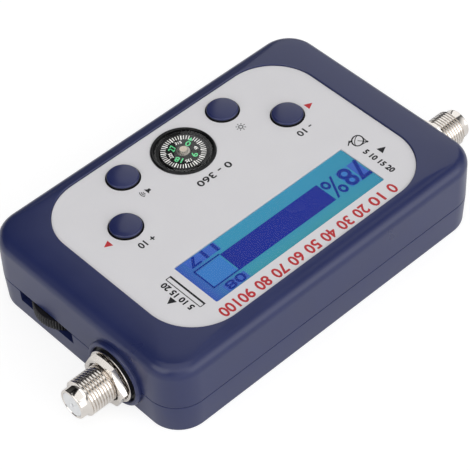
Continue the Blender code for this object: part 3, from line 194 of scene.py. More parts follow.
def noise(tree, vector, scale, detail):
    made = node(tree, "TexNoise")
    made.inputs["Scale"].default_value = scale
    made.inputs["Detail"].default_value = detail
    tree.links.new(vector, made.inputs["Vector"])
    return made.outputs["Fac"]


def remap(tree, value, low, high, from_low=0.25, from_high=0.75):
    made = node(tree, "MapRange")
    for key, number in zip(("From Min", "From Max", "To Min", "To Max"),
                           (from_low, from_high, low, high)):
        made.inputs[key].default_value = number
    tree.links.new(value, made.inputs["Value"])
    return made.outputs["Result"]


def reckon(tree, operation, first, second):
    """A Math node on two outputs."""
    made = node(tree, "Math", operation=operation)
    tree.links.new(first, made.inputs[0])
    tree.links.new(second, made.inputs[1])
    return made.outputs[0]


def blend(tree, factor, low, high):
    """Mixes two colours, each a colour or another node's output."""
    made = node(tree, "Mix", data_type="RGBA")
    tree.links.new(factor, made.inputs["Factor"])
    for socket, value in ((made.inputs[6], low), (made.inputs[7], high)):
        if isinstance(value, tuple):
            socket.default_value = (*value, 1)
        else:
            tree.links.new(value, socket)
    return made.outputs[2]


def surface(name, low, high, grain, rough, bump=0.0, depth=0.02 * MM, stretch=(1, 1, 1),
            cloud=90.0, **fixed):
    """A material whose colour, roughness and bump come from a fine grain and a broad cloud.

    grain and cloud are per metre, and rough is the range of the roughness.
    """
    made = bpy.data.materials.new(name)
    made.use_nodes = True
    tree = made.node_tree
    shader = tree.nodes["Principled BSDF"]
    place = node(tree, "TexCoord").outputs["Object"]
    mapping = node(tree, "Mapping")
    mapping.inputs["Scale"].default_value = stretch
    tree.links.new(place, mapping.inputs["Vector"])
    fine = noise(tree, mapping.outputs["Vector"], grain, 3.0)
    broad = noise(tree, place, cloud, 2.0)
    share = remap(tree, reckon(tree, "ADD", fine, broad), 0.0, 1.0, 0.6, 1.4)
    tree.links.new(blend(tree, share, low, high), shader.inputs["Base Color"])
    tree.links.new(remap(tree, broad, *rough), shader.inputs["Roughness"])
    if bump:
        relief = node(tree, "Bump")
        relief.inputs["Strength"].default_value = bump
        relief.inputs["Distance"].default_value = depth
        tree.links.new(fine, relief.inputs["Height"])
        tree.links.new(relief.outputs["Normal"], shader.inputs["Normal"])
    for key, value in fixed.items():
        shader.inputs[key.replace("_", " ")].default_value = value
    return made


def display_material():
    """Backlit display: teal, greener along the far edge, deeper blue at the receiver end."""
    made = surface("lcd_backlit", (0, 0, 0), (0, 0, 0), 3000.0, (0.18, 0.24),
                   Specular_IOR_Level=0.1)
    tree = made.node_tree
    shader = tree.nodes["Principled BSDF"]
    split = node(tree, "SeparateXYZ")
    place = next(n for n in tree.nodes if n.type == "TEX_COORD").outputs["Object"]
    tree.links.new(place, split.inputs[0])
    x, y = split.outputs[:2]
    towards_end = remap(tree, x, 0, 1, 15 * MM, 27 * MM)
    near_start = remap(tree, x, 1, 0, -27 * MM, -13 * MM)
    far_edge = remap(tree, y, 0, 1, 16 * MM, 22.5 * MM)
    colour = blend(tree, far_edge, linear(62, 154, 190), linear(66, 158, 178))
    colour = blend(tree, near_start, colour, linear(60, 152, 184))
    colour = blend(tree, towards_end, colour, linear(60, 96, 186))
    tree.links.new(colour, shader.inputs["Base Color"])
    tree.links.new(colour, shader.inputs["Emission Color"])
    shader.inputs["Emission Strength"].default_value = 0.24
    return made


def ink(name, colour, glow=0.0, rough=(0.4, 0.5)):
    """Print, or a display segment that glows; print given a glow is painted light."""
    shade = tuple(c * 0.86 for c in colour)
    made = surface(name, shade, colour, 5000.0, rough, bump=0.05, depth=0.005 * MM,
                   Specular_IOR_Level=0.2)
    shader = made.node_tree.nodes["Principled BSDF"]
    shader.inputs["Emission Color"].default_value = (*colour, 1)
    shader.inputs["Emission Strength"].default_value = glow
    return made


def metal(name, low, high, rough=(0.22, 0.32), bump=0.08, grain=2600.0, **fixed):
    return surface(name, low, high, grain, rough, bump=bump, Metallic=1.0, **fixed)


NAVY = surface("navy_moulded", (0.0145, 0.021, 0.084), (0.0185, 0.0265, 0.102), 5200.0,
               (0.27, 0.33), bump=0.2, depth=0.012 * MM)
NAVY_CAP = surface("navy_cap", (0.0135, 0.0195, 0.084), (0.018, 0.0245, 0.102), 4200.0,
                   (0.2, 0.26), bump=0.08, depth=0.01 * MM)
LABEL = surface("label_film_grey", (0.715, 0.705, 0.725), (0.755, 0.745, 0.765), 7000.0,
                (0.4, 0.46), bump=0.1, depth=0.008 * MM)
CLEAR_TINT = ((0.0, 0.0, 0.0), (0.004, 0.004, 0.004), 900.0)
WINDOW = surface("window_clear", *CLEAR_TINT, (0.03, 0.06), Alpha=0.08)
LENS = surface("lens_clear", *CLEAR_TINT, (0.01, 0.03), Alpha=0.12, IOR=2.0,
               Specular_IOR_Level=1.0)
LCD = display_material()
GUIDE = surface("light_guide_milky", (0.80, 0.84, 0.88), (0.88, 0.90, 0.92), 1500.0,
                (0.25, 0.35), bump=0.05)
# Darker steel for the toothed washers: painted shade for the teeth in the shadow between nut and
# flat washer
TOOTH_STEEL_PAINTED_SHADE = metal("washer_steel_painted_shade", (0.20, 0.18, 0.16), (0.30, 0.27, 0.24), (0.25, 0.35), 0.05)
# Black moulded plastic; on the bushes in the connector collars it is painted shade
BLACK = surface("black_moulded_and_painted_shade", (0.012, 0.012, 0.014), (0.022, 0.022, 0.024), 4000.0,
                (0.4, 0.5), bump=0.2)
# Near black for the button skirts: painted shade for the dark gap between each cap and the label
SKIRT_PAINTED_SHADE = surface("skirt_painted_shade_black", (0.003, 0.003, 0.004), (0.006, 0.006, 0.008), 4000.0,
                      (0.35, 0.45), bump=0.1, Specular_IOR_Level=0.2)
CUP_BLACK = surface("cup_gloss_black", (0.002, 0.002, 0.0025), (0.004, 0.004, 0.005), 2500.0,
                    (0.1, 0.16), Specular_IOR_Level=0.3)
CARD_BLACK = surface("card_matt_black", (0.006, 0.0065, 0.007), (0.012, 0.013, 0.013), 6000.0,
                     (0.45, 0.6), bump=0.1, Specular_IOR_Level=0.2)
RUBBER = surface("contact_rubber_grain", (0.035, 0.035, 0.035), (0.055, 0.055, 0.055), 5000.0,
                 (0.7, 0.85), bump=0.3)
BOARD = surface("board_mask_green", (0.012, 0.12, 0.04), (0.025, 0.18, 0.07), 1200.0,
                (0.3, 0.4), bump=0.15)
WHEEL = surface("wheel_moulded_black", (0.008, 0.0078, 0.0085), (0.015, 0.0145, 0.016), 5000.0,
                (0.32, 0.4), bump=0.2)
NICKEL = metal("nickel_turned", (0.74, 0.697, 0.65), (0.84, 0.797, 0.75), (0.09, 0.13), 0.015,
               1600.0, depth=0.003 * MM, stretch=(6, 1, 1), cloud=260.0)
HUB_METAL = metal("hub_pewter", (0.52, 0.48, 0.43), (0.66, 0.61, 0.55), bump=0.05)
BRASS = metal("brass_turned", (0.62, 0.42, 0.16), (0.74, 0.54, 0.26))
STEEL = metal("steel_zinc", (0.44, 0.44, 0.46), (0.56, 0.56, 0.58), (0.25, 0.36), 0.1)
WHITE = surface("insulator_moulded", (0.84, 0.85, 0.86), (0.90, 0.91, 0.92), 3000.0,
                (0.3, 0.4), bump=0.05)
INK_RED = ink("print_red", linear(196, 54, 60))
INK_BLACK = ink("print_black", linear(30, 30, 33))
# The compass card's print and the hub cap glow though they are no lamp: painted light where the
# dome keeps the lamps' light from them
GREEN_INK_PAINTED_GLOW = ink("card_green_painted_glow", linear(110, 232, 158), glow=0.42)
WHITE_INK_PAINTED_GLOW = ink("card_white_painted_glow", linear(236, 236, 232), glow=0.8)
HUB_CREAM_PAINTED_GLOW = ink("hub_cream_painted_glow", linear(228, 212, 194), glow=0.25)
LIT_ROUGH = (0.2, 0.3)
SEGMENT_DARK = ink("segment_indigo", linear(14, 40, 152), 0.3, LIT_ROUGH)
SEGMENT_BLUE = ink("segment_blue", linear(8, 46, 152), 0.25, LIT_ROUGH)
CELL_DEEP = ink("cell_deep", linear(62, 104, 200), 0.26, LIT_ROUGH)
CELL_BLUE = ink("cell_blue", linear(58, 130, 208), 0.28, LIT_ROUGH)


# ---- Shapes ----

def in_mm(points):
    return [(a * MM, b * MM) for a, b in points]


def at(x, y):
    return Matrix.Translation((x, y, 0))


def spot(radius, turn, centre=(0, 0)):
    """The point at an angle on a circle."""
    return centre[0] + radius * cos(turn), centre[1] + radius * sin(turn)


def arc(centre_r, centre_z, radius, start, end, steps):
    """Profile points on a circle, angles in degrees from +r towards +z."""
    return [spot(radius, radians(start + (end - start) * k / steps), (centre_r, centre_z))
            for k in range(steps + 1)]


def rod(radius, low, high):
    """The profile of a plain cylinder."""
    return [(0, high), (radius, high), (radius, low), (0, low)]


def grown(size, by):
    """A rounded rectangle's size with so much added all round."""
    return size[0] + 2 * by, size[1] + 2 * by, size[2] + by


def bridge(shape, rings, closed=False):
    """Joins rings of equally many points in a bmesh with four-sided faces."""
    count = len(rings[0])
    for low, high in zip(rings, rings[1:] + rings[:closed]):
        for k in range(count):
            shape.faces.new((low[k], low[(k + 1) % count], high[(k + 1) % count], high[k]))


def capped(shape, rings):
    """Bridges rings and closes both ends."""
    bridge(shape, rings)
    shape.faces.new(list(reversed(rings[0])))
    shape.faces.new(rings[-1])


def spun(shape, profile, sides, place=Matrix.Identity(4), closed=False):
    """Adds a turned solid about Z to a bmesh. The profile is (radius, z)."""
    rings = []
    for radius, z in profile:
        turns = [2 * pi * k / sides for k in range(sides if radius else 1)]
        rings.append([shape.verts.new(place @ Vector((*spot(radius, t), z))) for t in turns])
    for one, two in zip(rings, rings[1:] + rings[:closed]):
        for k in range(sides):
            corners = [one[k % len(one)], one[(k + 1) % len(one)],
                       two[(k + 1) % len(two)], two[k % len(two)]]
            corners = [c for i, c in enumerate(corners) if c not in corners[:i]]
            if len(corners) > 2:
                shape.faces.new(corners)


def rounded_ring(length, width, radius, z, steps):
    ring = []
    for quarter in range(4):
        sign_x = 1 if quarter in (0, 3) else -1
        sign_y = 1 if quarter in (0, 1) else -1
        centre = (sign_x * (length / 2 - radius), sign_y * (width / 2 - radius))
        for step in range(steps + 1):
            ring.append(Vector((*spot(radius, (quarter + step / steps) * pi / 2, centre), z)))
    return ring


def lofted(shape, sections, steps=CORNER_STEPS, place=(0, 0)):
    """Adds a solid through rounded rectangles (length, width, radius, z) to a bmesh."""
    shift = Vector((*place, 0))
    capped(shape, [[shape.verts.new(p + shift) for p in rounded_ring(*section, steps)]
                   for section in sections])


def prism(shape, points, low, high, place=Matrix.Identity(4)):
    """Adds a flat polygon raised between two heights to a bmesh."""
    under, over = [[shape.verts.new(place @ Vector((x, y, z))) for x, y in points]
                   for z in (low, high)]
    shape.faces.new(over)
    shape.faces.new(list(reversed(under)))
    bridge(shape, [under, over])


def boxed(shape, low, high):
    prism(shape, [low[:2], (high[0], low[1]), high[:2], (low[0], high[1])], low[2], high[2])


def to_object(name, shape, sharp=SHARP_EDGE):
    bmesh.ops.recalc_face_normals(shape, faces=shape.faces)
    mesh = bpy.data.meshes.new(name)
    shape.to_mesh(mesh)
    shape.free()
    mesh.shade_smooth()
    mesh.set_sharp_from_angle(angle=sharp)
    made = bpy.data.objects.new(name, mesh)
    SCENE.collection.objects.link(made)
    return made


def turned(name, profile, sides, place, closed=False):
    """A turned piece of its own."""
    shape = bmesh.new()
    spun(shape, profile, sides, place, closed)
    return to_object(name, shape)


def evaluated_mesh(piece):
    return bpy.data.meshes.new_from_object(
        piece.evaluated_get(bpy.context.evaluated_depsgraph_get()))


def carve(piece, *steps):
    """Runs (operation, bmesh) steps on a piece and bakes them in."""
    tools = []
    for operation, shape in steps:
        tools.append(to_object("tool", shape))
        step = piece.modifiers.new("carve", "BOOLEAN")
        step.operation, step.object, step.solver = operation, tools[-1], "EXACT"
    baked = evaluated_mesh(piece)
    piece.modifiers.clear()
    piece.data = baked
    for tool in tools:
        bpy.data.objects.remove(tool, do_unlink=True)
    shape = bmesh.new()
    shape.from_mesh(baked)
    bmesh.ops.dissolve_degenerate(shape, dist=0.002 * MM, edges=shape.edges)
    shape.to_mesh(baked)
    shape.free()
    baked.shade_smooth()
    baked.set_sharp_from_angle(angle=SHARP_EDGE)


def dress(piece, material, body, slot, *nodes):
    """Gives a piece its material, the body it rides on and the nodes it replaces; its slot argument
    is not used.
    """
    piece.data.materials.clear()
    piece.data.materials.append(material)
    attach(piece, body)
    if nodes:
        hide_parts(*nodes)


def along_connector(side):
    """From a connector's own axes, Z outwards, to the meter's."""
    return (Matrix.Translation((side * END_WALL_X, CONNECTOR_Y, PARTING_Z))
            @ Matrix.Rotation(side * pi / 2, 4, "Y"))


# ---- Case ----

def section(inset, z):
    """The case's outline, so far inside its widest."""
    return (*grown(CASE, -inset), z)


def parting_edge(rim_z, way):
    """The eased edge of a shell at the parting line, from its rim."""
    return [section(EDGE_ROUND, rim_z),
            section(EDGE_ROUND * EDGE_BEND, rim_z + way * EDGE_ROUND * EDGE_BEND),
            section(0, rim_z + way * EDGE_ROUND), section(0, rim_z + way * 2 * EDGE_ROUND)]


def collars():
    """The seat disc and the rounded collar round each connector."""
    profile = in_mm([(0, 1.4), *arc(6.05, 1.25, 0.15, 90, 0, 3), (6.2, 0.0), (7.4, 0.0),
                     *arc(8.05, 0.65, 0.65, 180, 0, 10), (8.7, -1.1), (0, -1.1)])
    shape = bmesh.new()
    for side in (-1, 1):
        spun(shape, profile, 72, along_connector(side))
    return shape


def drills():
    """The bores through the end walls."""
    shape = bmesh.new()
    for side in (-1, 1):
        spun(shape, rod(CONNECTOR_HOLE, -5 * MM, 4 * MM), 48, along_connector(side))
    return shape


def posts(radius, low, high, places, sides=32):
    """Upright cylinders, to add or to cut with."""
    shape = bmesh.new()
    for x, y in places:
        spun(shape, rod(radius, low, high), sides, at(x, y))
    return shape


def plate(size, low, high):
    """A rounded slab between two heights."""
    shape = bmesh.new()
    lofted(shape, [(*size, low), (*size, high)])
    return shape


def block(low_z, high_z):
    """A cutter wider than the case."""
    shape = bmesh.new()
    boxed(shape, (-CASE[0], -CASE[1], low_z), (CASE[0], CASE[1], high_z))
    return shape


def make_upper_shell():
    """Crowned rim round the sunk panel, with the room inside, the posts and the wells."""
    wall_top = RIM_TOP_Z - CROWN_RISE - TOP_FILLET * sin(FILLET_SWEEP)
    rim_z = PARTING_Z + PARTING_HALF_GAP
    sections = [*parting_edge(rim_z, 1), section(0, wall_top - 0.3 * MM)]
    for step in range(FILLET_STEPS + 1):
        turn = FILLET_SWEEP * step / FILLET_STEPS
        sections.append(section(TOP_FILLET * (1 - cos(turn)), wall_top + TOP_FILLET * sin(turn)))
    start, opening = sections[-1], grown(LABEL_SIZE, GAP)
    rim = (*opening, RIM_TOP_Z)
    for step in range(1, CROWN_STEPS + 1):
        share = step / CROWN_STEPS
        rise = 1 - (1 - share) ** CROWN_POWER
        part = [a + (b - a) * share for a, b in zip(start, rim)]
        sections.append((*part[:3], start[3] + (rim[3] - start[3]) * rise))
    shape = bmesh.new()
    lofted(shape, sections)
    shell = to_object("shell_upper_moulding", shape)
    recess, eased = bmesh.new(), grown(opening, RECESS_EASE)
    lofted(recess, [(*opening, RECESS_FLOOR_Z), (*opening, RIM_TOP_Z - RECESS_EASE_DOWN),
                    (*eased, RIM_TOP_Z + 0.02 * MM), (*eased, RIM_TOP_Z + OVERRUN)])
    wells_z = CEILING_Z - OVERRUN
    wells = posts(BUTTON_HOLE, wells_z, FACE_Z, BUTTONS.values(), 64)
    spun(wells, [(0, FACE_Z), (COMPASS_WELL, FACE_Z), (COMPASS_WELL, COMPASS_WELL_Z),
                 (PIVOT_WELL, COMPASS_WELL_Z), (PIVOT_WELL, PIVOT_WELL_Z), (0, PIVOT_WELL_Z)],
         96, at(0, COMPASS_Y))
    window = (DISPLAY_LENGTH, DISPLAY_WIDTH, DISPLAY_CORNER)
    lofted(wells, [(*window, wells_z), (*window, FACE_Z)], place=(0, DISPLAY_Y))
    inner, low = grown(CASE, -WALL), LOWER_RIM_Z - OVERRUN
    carve(shell, ("UNION", collars()), ("DIFFERENCE", block(-OVERRUN, rim_z)),
          ("DIFFERENCE", plate(inner, low, CEILING_Z)),
          ("DIFFERENCE", plate(grown(inner, LIP_THICKNESS + GAP), low, LIP_TOP_Z + GAP)),
          ("UNION", posts(UPPER_POST, UPPER_RIM_Z, CEILING_Z + OVERLAP, CASE_SCREWS)),
          ("UNION", posts(COMPASS_SEAT, COMPASS_SEAT_Z, CEILING_Z + OVERLAP, [(0, COMPASS_Y)], 64)),
          ("DIFFERENCE", recess), ("DIFFERENCE", wells),
          ("DIFFERENCE", posts(SCREW_HOLE, low, SCREW_HOLE_TOP_Z, CASE_SCREWS)),
          ("DIFFERENCE", drills()))
    dress(shell, NAVY, "housing", "navy_plastic", "upper_shell")


def make_lower_shell():
    """Drafted tub with the lip, the posts, the screw sinks and the notch for the wheel."""
    rim_z = PARTING_Z - PARTING_HALF_GAP
    sections = []
    for step in range(BASE_STEPS + 1):
        turn = pi / 2 * step / BASE_STEPS
        sections.append(section(BASE_DRAFT + BASE_EDGE * (1 - sin(turn)),
                                BASE_EDGE * (1 - cos(turn))))
    sections += reversed(parting_edge(rim_z, -1))
    shape = bmesh.new()
    lofted(shape, sections)
    shell = to_object("shell_lower_moulding", shape)
    sinks = bmesh.new()
    for x, y in CASE_SCREWS:
        spun(sinks, in_mm(SCREW_SINK), 40, at(x, y))
    notch = bmesh.new()
    boxed(notch, (END_WALL_X - WALL - OVERRUN, NOTCH_Y - NOTCH_HALF, NOTCH_FLOOR_Z),
          (END_WALL_X + OVERRUN, NOTCH_Y + NOTCH_HALF, FACE_Z))
    inner = grown(CASE, -WALL)
    carve(shell, ("UNION", collars()), ("DIFFERENCE", block(rim_z, FACE_Z)),
          ("DIFFERENCE", block(-FACE_Z, 0)),
          ("UNION", plate(grown(inner, LIP_THICKNESS), LOWER_RIM_Z - OVERLAP, LIP_TOP_Z)),
          ("DIFFERENCE", plate(inner, FLOOR, LIP_TOP_Z + OVERRUN)),
          ("UNION", posts(LOWER_POST, FLOOR - OVERLAP, LOWER_RIM_Z, CASE_SCREWS)),
          ("DIFFERENCE", sinks), ("DIFFERENCE", posts(SCREW_HOLE, 0, LIP_TOP_Z, CASE_SCREWS)),
          ("DIFFERENCE", drills()), ("DIFFERENCE", notch))
    dress(shell, NAVY, "housing", "navy_plastic", "lower_shell")


def make_label():
    """The film on the face, with holes for the buttons, the compass and the display."""
    low = FACE_Z - LABEL_THICKNESS
    size = grown(LABEL_SIZE, LABEL_GROW)
    shape = bmesh.new()
    lofted(shape, [(*size, low), (*size, FACE_Z - LABEL_SOFT),
                   (*grown(size, -LABEL_SOFT), FACE_Z)], steps=32)
    label = to_object("label_sheet", shape)
    under, over = low - OVERRUN, FACE_Z + OVERRUN
    holes = posts(BUTTON_HOLE, under, over, BUTTONS.values(), 72)
    spun(holes, rod(COMPASS_HOLE, under, over), 96, at(0, COMPASS_Y))
    pane = (DISPLAY_LENGTH - 2 * PANE_TRIM, DISPLAY_WIDTH - 2 * PANE_TRIM, DISPLAY_CORNER)
    lofted(holes, [(*pane, under), (*pane, over)], steps=6, place=(0, DISPLAY_Y))
    carve(label, ("DIFFERENCE", holes))
    dress(label, LABEL, "housing", "label_film", "face_label")


# ---- Buttons, compass, wheel ----

def make_buttons():
    """Navy caps, each over a black skirt whose black is painted shade in the gap round the cap."""
    edge_z = BUTTON_TOP_Z - BUTTON_DOME - BUTTON_EDGE
    inner = BUTTON_RADIUS - CAP_INSET - BUTTON_EDGE
    cap = [(inner * k / DOME_STEPS,
            BUTTON_TOP_Z - BUTTON_DOME * (k / DOME_STEPS) ** DOME_POWER)
           for k in range(DOME_STEPS + 1)]
    cap += arc(inner, edge_z, BUTTON_EDGE, 75, -20, 8)
    cap += [(NECK_RADIUS, edge_z - 0.2 * MM), (NECK_RADIUS, NECK_LOW_Z), *in_mm(BUTTON_FLANGE)]
    skirt = [(NECK_RADIUS, NECK_LOW_Z), (BUTTON_RADIUS, NECK_LOW_Z),
             (BUTTON_RADIUS, SKIRT_TOP_Z - SKIRT_BEVEL),
             (BUTTON_RADIUS - SKIRT_BEVEL, SKIRT_TOP_Z), (NECK_RADIUS, SKIRT_TOP_Z)]
    for name, place in BUTTONS.items():
        button = name + "_button"
        dress(turned(name + "_cap", cap, 72, at(*place)), NAVY_CAP, button, "navy_plastic", button)
        # The skirt's black is painted shade for the gap between cap and label
        dress(turned(name + "_skirt", skirt, 72, at(*place), closed=True), SKIRT_PAINTED_SHADE, button,
              "black_plastic")


def make_compass():
    """Bowl, clear dome, and the card and hub that turn, each a profile in mm."""
    place = at(0, COMPASS_Y)
    cup = [(0, 18.45), (5.95, 18.45), *arc(6.1, 21.15, 0.15, 180, 90, 3), (7.25, 21.3),
           (7.35, 21.4), *arc(7.725, BOWL_TOP - BOWL_EDGE, BOWL_EDGE, 180, 0, 14), (8.1, 21.7),
           (8.1, 17.5), (7.95, 17.35), (0, 17.35)]
    dress(turned("compass_bowl", in_mm(cup), 96, place), CUP_BLACK, "housing", "black_plastic",
          "compass_cup")
    upper = [(DOME_RADIUS * k / DOME_RINGS, DOME_RIM + DOME_RISE * (1 - (k / DOME_RINGS) ** 2))
             for k in range(DOME_RINGS)]
    lens = [*upper, *arc(7.1, 22.15, 0.1, 60, 0, 3), (7.2, 21.4), (7.1, 21.35), (6.75, 21.35),
            *[(DOME_INSIDE * r, z - DOME_WALL) for r, z in reversed(upper)]]
    dress(turned("compass_dome", in_mm(lens), 96, place), LENS, "housing", "clear_window",
          "compass_lens")
    card = [(0.8, 21.8), (5.72, 21.8), *arc(5.72, 21.72, 0.08, 90, 0, 3), (5.8, 21.4),
            (0.8, 21.4)]
    dress(turned("compass_rose", in_mm(card), 96, place, closed=True), CARD_BLACK,
          "compass_card", "black_plastic", "compass_card")
    hub = [(0, 22.76), *arc(1.03, 22.64, 0.12, 90, 0, 4), (1.15, 22.35), (1.3, 22.27),
           *arc(1.58, 22.13, 0.12, 90, 0, 4), (1.7, 21.8), (0.65, 21.8), (0.65, 22.3), (0, 22.3)]
    dress(turned("compass_boss", in_mm(hub), 56, place), HUB_METAL, "compass_card", "brass",
          "compass_hub")


def make_wheel():
    """Ribbed knob: rounded ribs round the edge, a small chamfer at each face, a dish below."""
    shape = bmesh.new()
    steps = WHEEL_RIBS * RIB_SIDES
    rings = []
    for z, chamfer in ((WHEEL_LOW, WHEEL_CHAMFER_DEEP), (WHEEL_LOW + WHEEL_CHAMFER_TALL, 0.0),
                       (WHEEL_TOP - WHEEL_CHAMFER_TALL, 0.0), (WHEEL_TOP, WHEEL_CHAMFER_DEEP)):
        ring = []
        for k in range(steps):
            turn = 2 * pi * k / steps
            wave = abs(cos(turn * WHEEL_RIBS / 2)) ** RIB_POWER
            radius = WHEEL_RADIUS - RIB_DEPTH * (1 - wave) - chamfer * wave
            ring.append(shape.verts.new((*spot(radius, turn, (WHEEL_X, WHEEL_Y)), z)))
        rings.append(ring)
    capped(shape, rings)
    wheel = to_object("ribbed_knob", shape)
    bore, dish, place = bmesh.new(), bmesh.new(), at(WHEEL_X, WHEEL_Y)
    spun(bore, rod(WHEEL_BORE, 2 * MM, 12 * MM), 48, place)
    spun(dish, in_mm([(0, 6.0), (6.5, 6.0), (6.8, 5.8), (6.8, 3), (0, 3)]), 72, place)
    carve(wheel, ("DIFFERENCE", bore), ("DIFFERENCE", dish))
    dress(wheel, WHEEL, "sensitivity_thumbwheel", "wheel_black", "sensitivity_thumbwheel")


# ---- Connectors ----

def hexagon(half, turn):
    """How far a hexagon of that half width reaches at an angle."""
    return half / cos((turn % (pi / 3)) - pi / 6)


def thread_radius(turn, height):
    """A rounded helical thread that fades out at both ends."""
    phase = (height / THREAD_PITCH - turn / (2 * pi)) % 1.0
    share = min(1.0, abs(2 * phase - 1) / THREAD_GROOVE)
    ridge = share * share * (3 - 2 * share)
    end = REACH - NOSE_LENGTH - 0.1 * MM
    fade = min(1.0, max(0.0, (height - THREAD_START) / THREAD_FADE_IN),
               max(0.0, (end - height) / THREAD_FADE_OUT))
    return THREAD_RADIUS - THREAD_DEPTH * (1 - ridge) * fade


def make_connector_shell(prefix, side):
    """Barrel with a bore: tail, hexagonal flange in the wall, cut thread and plain nose."""
    place, sides = along_connector(side), 96
    shape = bmesh.new()
    rings = []
    base = REACH - NOSE_LENGTH
    threaded = base - THREAD_RELIEF - FLANGE_TOP
    rows = int(threaded / (THREAD_PITCH / 16))

    def ring(radius_at, height):
        points = [(*spot(radius_at(2 * pi * k / sides, height), 2 * pi * k / sides), height)
                  for k in range(sides)]
        rings.append([shape.verts.new(place @ Vector(p)) for p in points])

    def plain(radius, height):
        ring(lambda turn, height: radius, height)

    plain(BARREL_BORE, TAIL_END)
    plain(TAIL_RADIUS, TAIL_END)
    plain(TAIL_RADIUS, FLANGE_LOW)
    for height in (FLANGE_LOW, FLANGE_TOP):
        ring(lambda turn, height: hexagon(FLANGE_HALF, turn), height)
    for row in range(rows + 1):
        ring(thread_radius, FLANGE_TOP + threaded * row / rows)
    plain(NOSE_RADIUS + 0.1 * MM, base - 0.05 * MM)
    plain(NOSE_RADIUS, base + 0.1 * MM)
    for r, z in arc(NOSE_RADIUS - NOSE_CHAMFER, REACH - NOSE_CHAMFER, NOSE_CHAMFER, 0, 90, 6):
        plain(r, z)
    plain(BARREL_BORE + BARREL_EASE, REACH)
    plain(BARREL_BORE, REACH - BARREL_EASE)
    bridge(shape, rings, closed=True)
    dress(to_object(prefix + "_barrel", shape, radians(40.0)), NICKEL, "housing", "nickel_plate",
          prefix + "_connector_shell")


def make_nut(prefix, side):
    """A hexagon nut, its corners taken off by a cone so that each flat ends in an arc."""
    place = along_connector(side) @ Matrix.Rotation(NUT_TURNS[prefix], 4, "Z")
    shape = bmesh.new()
    sides, half = 96, NUT_ACROSS_FLATS / 2
    start = half - 0.08 * MM
    corners = [hexagon(half, 2 * pi * k / sides) for k in range(sides)]
    drop = [tan(NUT_SLOPE) * (r - start) for r in corners]

    def ring(radii, heights):
        return [shape.verts.new(place @ Vector((*spot(r, 2 * pi * k / sides), z)))
                for k, (r, z) in enumerate(zip(radii, heights))]

    def round_ring(radius, height):
        return ring([radius] * sides, [height] * sides)

    bridge(shape, [round_ring(CONNECTOR_HOLE, NUT_FACE + NUT_EASE),
                   round_ring(CONNECTOR_HOLE + NUT_EASE, NUT_FACE), round_ring(start, NUT_FACE),
                   ring(corners, [NUT_FACE + 0.5 * d for d in drop]),
                   ring(corners, [NUT_TOP - d for d in drop]), round_ring(start, NUT_TOP),
                   round_ring(CONNECTOR_HOLE + NUT_EASE, NUT_TOP),
                   round_ring(CONNECTOR_HOLE, NUT_TOP - NUT_EASE)], closed=True)
    dress(to_object(prefix + "_nut", shape, radians(20.0)), NICKEL, "housing", "nickel_plate",
          prefix + "_hex_nut")


def make_washers(prefix, side):
    """The flat washer, and over it the toothed one, its darker steel painted shade for the teeth in
    shadow.
    """
    place = along_connector(side)
    flat = [(5.02, 1.76), (5.08, 1.7), (6.87, 1.7), *arc(6.87, 1.78, 0.08, -90, 0, 2),
            *arc(6.87, 1.92, 0.08, 0, 90, 2), (5.08, 2.0), (5.02, 1.94)]
    dress(turned(prefix + "_plain_washer", in_mm(flat), 72, place, closed=True), NICKEL,
          "housing", "nickel_plate", prefix + "_flat_washer")
    steps = TEETH * TOOTH_SIDES
    shape = bmesh.new()
    rings = []
    for inner, height in ((True, LOCK_TOP), (False, LOCK_TOP), (False, LOCK_LOW),
                          (True, LOCK_LOW)):
        ring = []
        for k in range(steps):
            share = k / steps * TEETH % 1.0
            tooth = TOOTH_SLOPE * (0.5 - abs(share - 0.5)) - TOOTH_NOTCH
            tooth = min(1.0, max(0.0, tooth))
            radius = LOCK_BORE if inner else TOOTH_ROOT + TOOTH_HEIGHT * tooth
            lean = 0.0 if inner else TOOTH_LEAN * (share - 0.5) * tooth
            point = (*spot(radius * MM, 2 * pi * k / steps), (height + lean) * MM)
            ring.append(shape.verts.new(place @ Vector(point)))
        rings.append(ring)
    bridge(shape, rings, closed=True)
    dress(to_object(prefix + "_toothed_washer", shape), TOOTH_STEEL_PAINTED_SHADE, "housing", "nickel_plate",
          prefix + "_lock_washer")


def make_shade_bush(prefix, side):
    """Black flanged bush the washers sit on; its black is painted shade, a dark ring filling the
    collar's groove where shade falls.
    """
    bush = [(5.1, 0.02), (7.38, 0.02), (7.38, 0.1), (7.3, 0.16), (6.5, 0.16), (6.32, 0.34),
            (6.32, 1.62), (6.24, 1.7), (5.1, 1.7)]
    dress(turned(prefix + "_shade_bush", in_mm(bush), 72, along_connector(side), closed=True),
          BLACK, "housing", "black_plastic")


def make_insulator(prefix, side):
    top = REACH / MM - 0.08
    profile = [(0.5, top - 0.15), (0.65, top), (3.1, top), (3.16, top - 0.06),
               (3.16, top - 0.9), (2.9, top - 1.0), (2.9, -7.5), (1.25, -7.5),
               (1.25, top - 1.2), (0.5, top - 1.2)]
    dress(turned(prefix + "_dielectric", in_mm(profile), 48, along_connector(side), closed=True),
          WHITE, "housing", "insulator_white", prefix + "_insulator")


